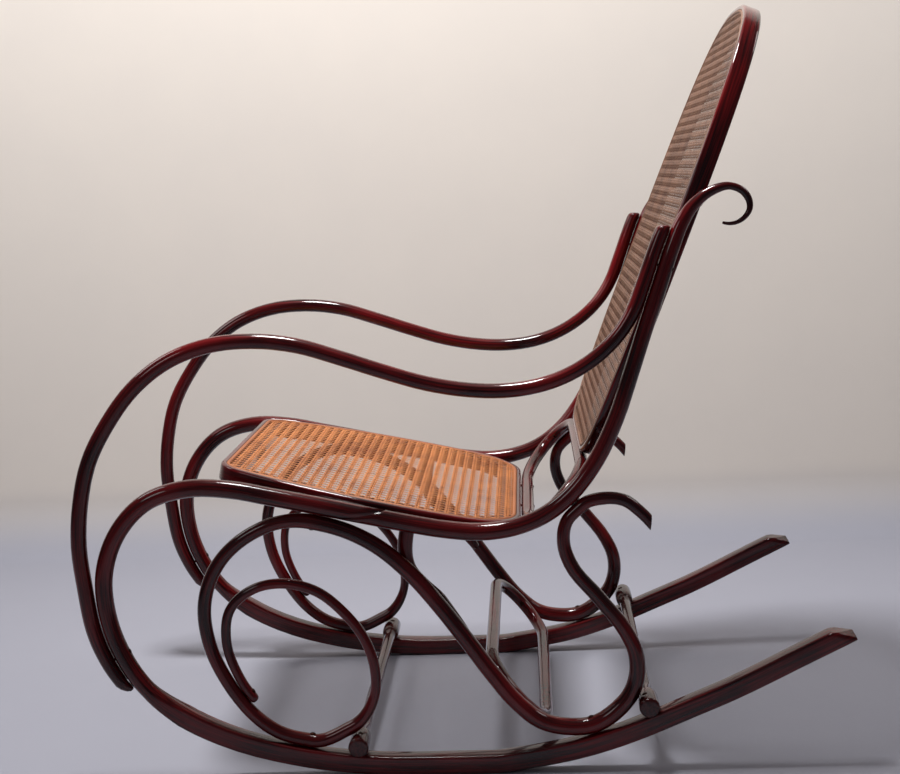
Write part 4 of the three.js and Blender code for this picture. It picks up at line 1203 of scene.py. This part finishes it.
class ROCKER_OT_screws(RockerPiece, bpy.types.Operator):
    """Set a slotted screw of dark brass in the place of each plain one"""

    bl_idname = "rocker.screws"
    bl_label = "Screws"

    def build(self, sizes):
        brass = material("aged_brass", aged_brass)
        for number, node in enumerate(sorted(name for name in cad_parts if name.startswith("screw_"))):
            points = corners_of(node)
            middle = points.mean(0)
            axis = np.linalg.svd(points - middle)[2][0]
            runs = (points - middle) @ axis
            spread = np.linalg.norm(points - middle - runs[:, None] * axis, axis=1)
            if spread[runs > 0].max() < spread[runs < 0].max():
                axis, runs = -axis, -runs
            corners, faces = screw_shape(float(np.ptp(runs)))
            spin = Matrix.Rotation(number * 2.4, 3, "Z").to_quaternion()
            turn = Vector((0, 0, 1)).rotation_difference(Vector(axis)) @ spin
            corners = np.array([turn @ Vector(corner) for corner in corners]) + middle + axis * runs.max()
            mesh_object(
                node + "_brass", corners, faces, corners, brass, [node],
                sharp=math.radians(30),
            )


class ROCKER_OT_studio(RockerPiece, bpy.types.Operator):
    """Set up the floor, the lights and the camera"""

    bl_idname = "rocker.studio"
    bl_label = "Studio"

    def build(self, sizes):
        scene = bpy.context.scene
        scene.view_settings.view_transform = "Standard"
        self.floor()
        self.world(scene)
        self.lamp("overhead", (0.12, -0.25, 2.7), (0, 0, 0.3), 0.55, 72)
        self.lamp("window", (2.4, -2.0, 1.9), (0, 0, 0.5), 0.8, 5)
        self.lamp("wall_left", (-0.3, -1.7, 1.9), (-1.07, -0.4, 0.9), 0.8, 8)
        self.lamp("wall_right", (-0.3, 1.7, 1.9), (-1.07, 0.4, 0.9), 0.8, 8)
        self.camera(scene)

    def floor(self):
        """A floor that turns up into a wall behind the chair; the wall is clear from its rear."""
        turns = np.linspace(0, math.pi / 2, 13)
        bend = [(WALL_FOOT - WALL_BEND * math.sin(turn), WALL_BEND * (1 - math.cos(turn))) for turn in turns]
        profile = [(7.0, 0.0), *bend, (WALL_FOOT - WALL_BEND, WALL_TOP)]
        widths = np.linspace(-7, 7, 9)
        corners = [(x, y, z) for x, z in profile for y in widths]
        faces = [
            [i * 9 + j, i * 9 + j + 1, (i + 1) * 9 + j + 1, (i + 1) * 9 + j]
            for i in range(len(profile) - 1) for j in range(8)
        ]
        mesh = bpy.data.meshes.new("studio_floor")
        mesh.from_pydata(corners, [], faces)
        mesh.shade_smooth()
        mesh.materials.append(material("studio_floor", studio_floor))
        floor = bpy.data.objects.new("studio_floor", mesh)
        bpy.context.scene.collection.objects.link(floor)
        floor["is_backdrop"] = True

    def world(self, scene):
        scene.world = scene.world or bpy.data.worlds.new("studio")
        shader = Shader(scene.world)
        seen = shader.add("ShaderNodeLightPath")["Is Camera Ray"]
        colour = shader.mix(seen, (0.072, 0.069, 0.08, 1), (0.7, 0.66, 0.62, 1))
        light = shader.add("ShaderNodeBackground", None, {"Color": colour})
        shader.add("ShaderNodeOutputWorld", None, {"Surface": light["Background"]})

    def lamp(self, name, place, target, size, power):
        data = bpy.data.lights.new(name, "AREA")
        data.shape = "DISK"
        data.size = size
        data.energy = power
        lamp = bpy.data.objects.new(name, data)
        lamp.location = place
        lamp.rotation_euler = (Vector(target) - Vector(place)).to_track_quat("-Z", "Y").to_euler()
        bpy.context.scene.collection.objects.link(lamp)

    def camera(self, scene):
        data = bpy.data.cameras.new("photo_view")
        data.sensor_width = 36
        data.lens = 61.6
        data.clip_end = 50
        camera = bpy.data.objects.new("photo_view", data)
        right = Vector((-0.0459, 0.9981, -0.0421))
        down = Vector((0.1428, -0.0351, -0.9891))
        ahead = Vector((-0.9887, -0.0514, -0.1409))
        turn = Matrix((right, -down, -ahead)).transposed().to_4x4()
        camera.matrix_world = Matrix.Translation((2.2932, 0.1027, 0.8258)) @ turn
        scene.collection.objects.link(camera)
        scene.camera = camera


PIECE_OPERATORS = (
    ROCKER_OT_rods, ROCKER_OT_rings, ROCKER_OT_cane, ROCKER_OT_cords, ROCKER_OT_hoops, ROCKER_OT_stretchers,
    ROCKER_OT_screws, ROCKER_OT_studio,
)


class ROCKER_PT_panel(bpy.types.Panel):
    """The chair's pieces and their sizes and colours"""

    bl_idname = "ROCKER_PT_panel"
    bl_label = "Rocking chair"
    bl_space_type = "VIEW_3D"
    bl_region_type = "UI"
    bl_category = "Rocking chair"

    def draw(self, context):
        for operator in PIECE_OPERATORS:
            self.layout.operator(operator.bl_idname)
        for group in (context.scene.rocker_sizes, context.scene.rocker_colours):
            box = self.layout.box()
            for name in group.__annotations__:
                box.prop(group, name)


CLASSES = (RockerSizes, RockerColours, *PIECE_OPERATORS, ROCKER_PT_panel)


def register():
    for item in CLASSES:
        bpy.utils.register_class(item)
    bpy.types.Scene.rocker_sizes = PointerProperty(type=RockerSizes)
    bpy.types.Scene.rocker_colours = PointerProperty(type=RockerColours)


def unregister():
    del bpy.types.Scene.rocker_sizes
    del bpy.types.Scene.rocker_colours
    for item in reversed(CLASSES):
        bpy.utils.unregister_class(item)


def main():
    register()
    for operator in PIECE_OPERATORS:
        group, name = operator.bl_idname.split(".")
        getattr(getattr(bpy.ops, group), name)()
    corners = [[list(corner) for corner in box] for box in (CAD_BOX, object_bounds())]
    {"cad": corners[0], "visual": corners[1]}


if __name__ == "__main__":
    main()
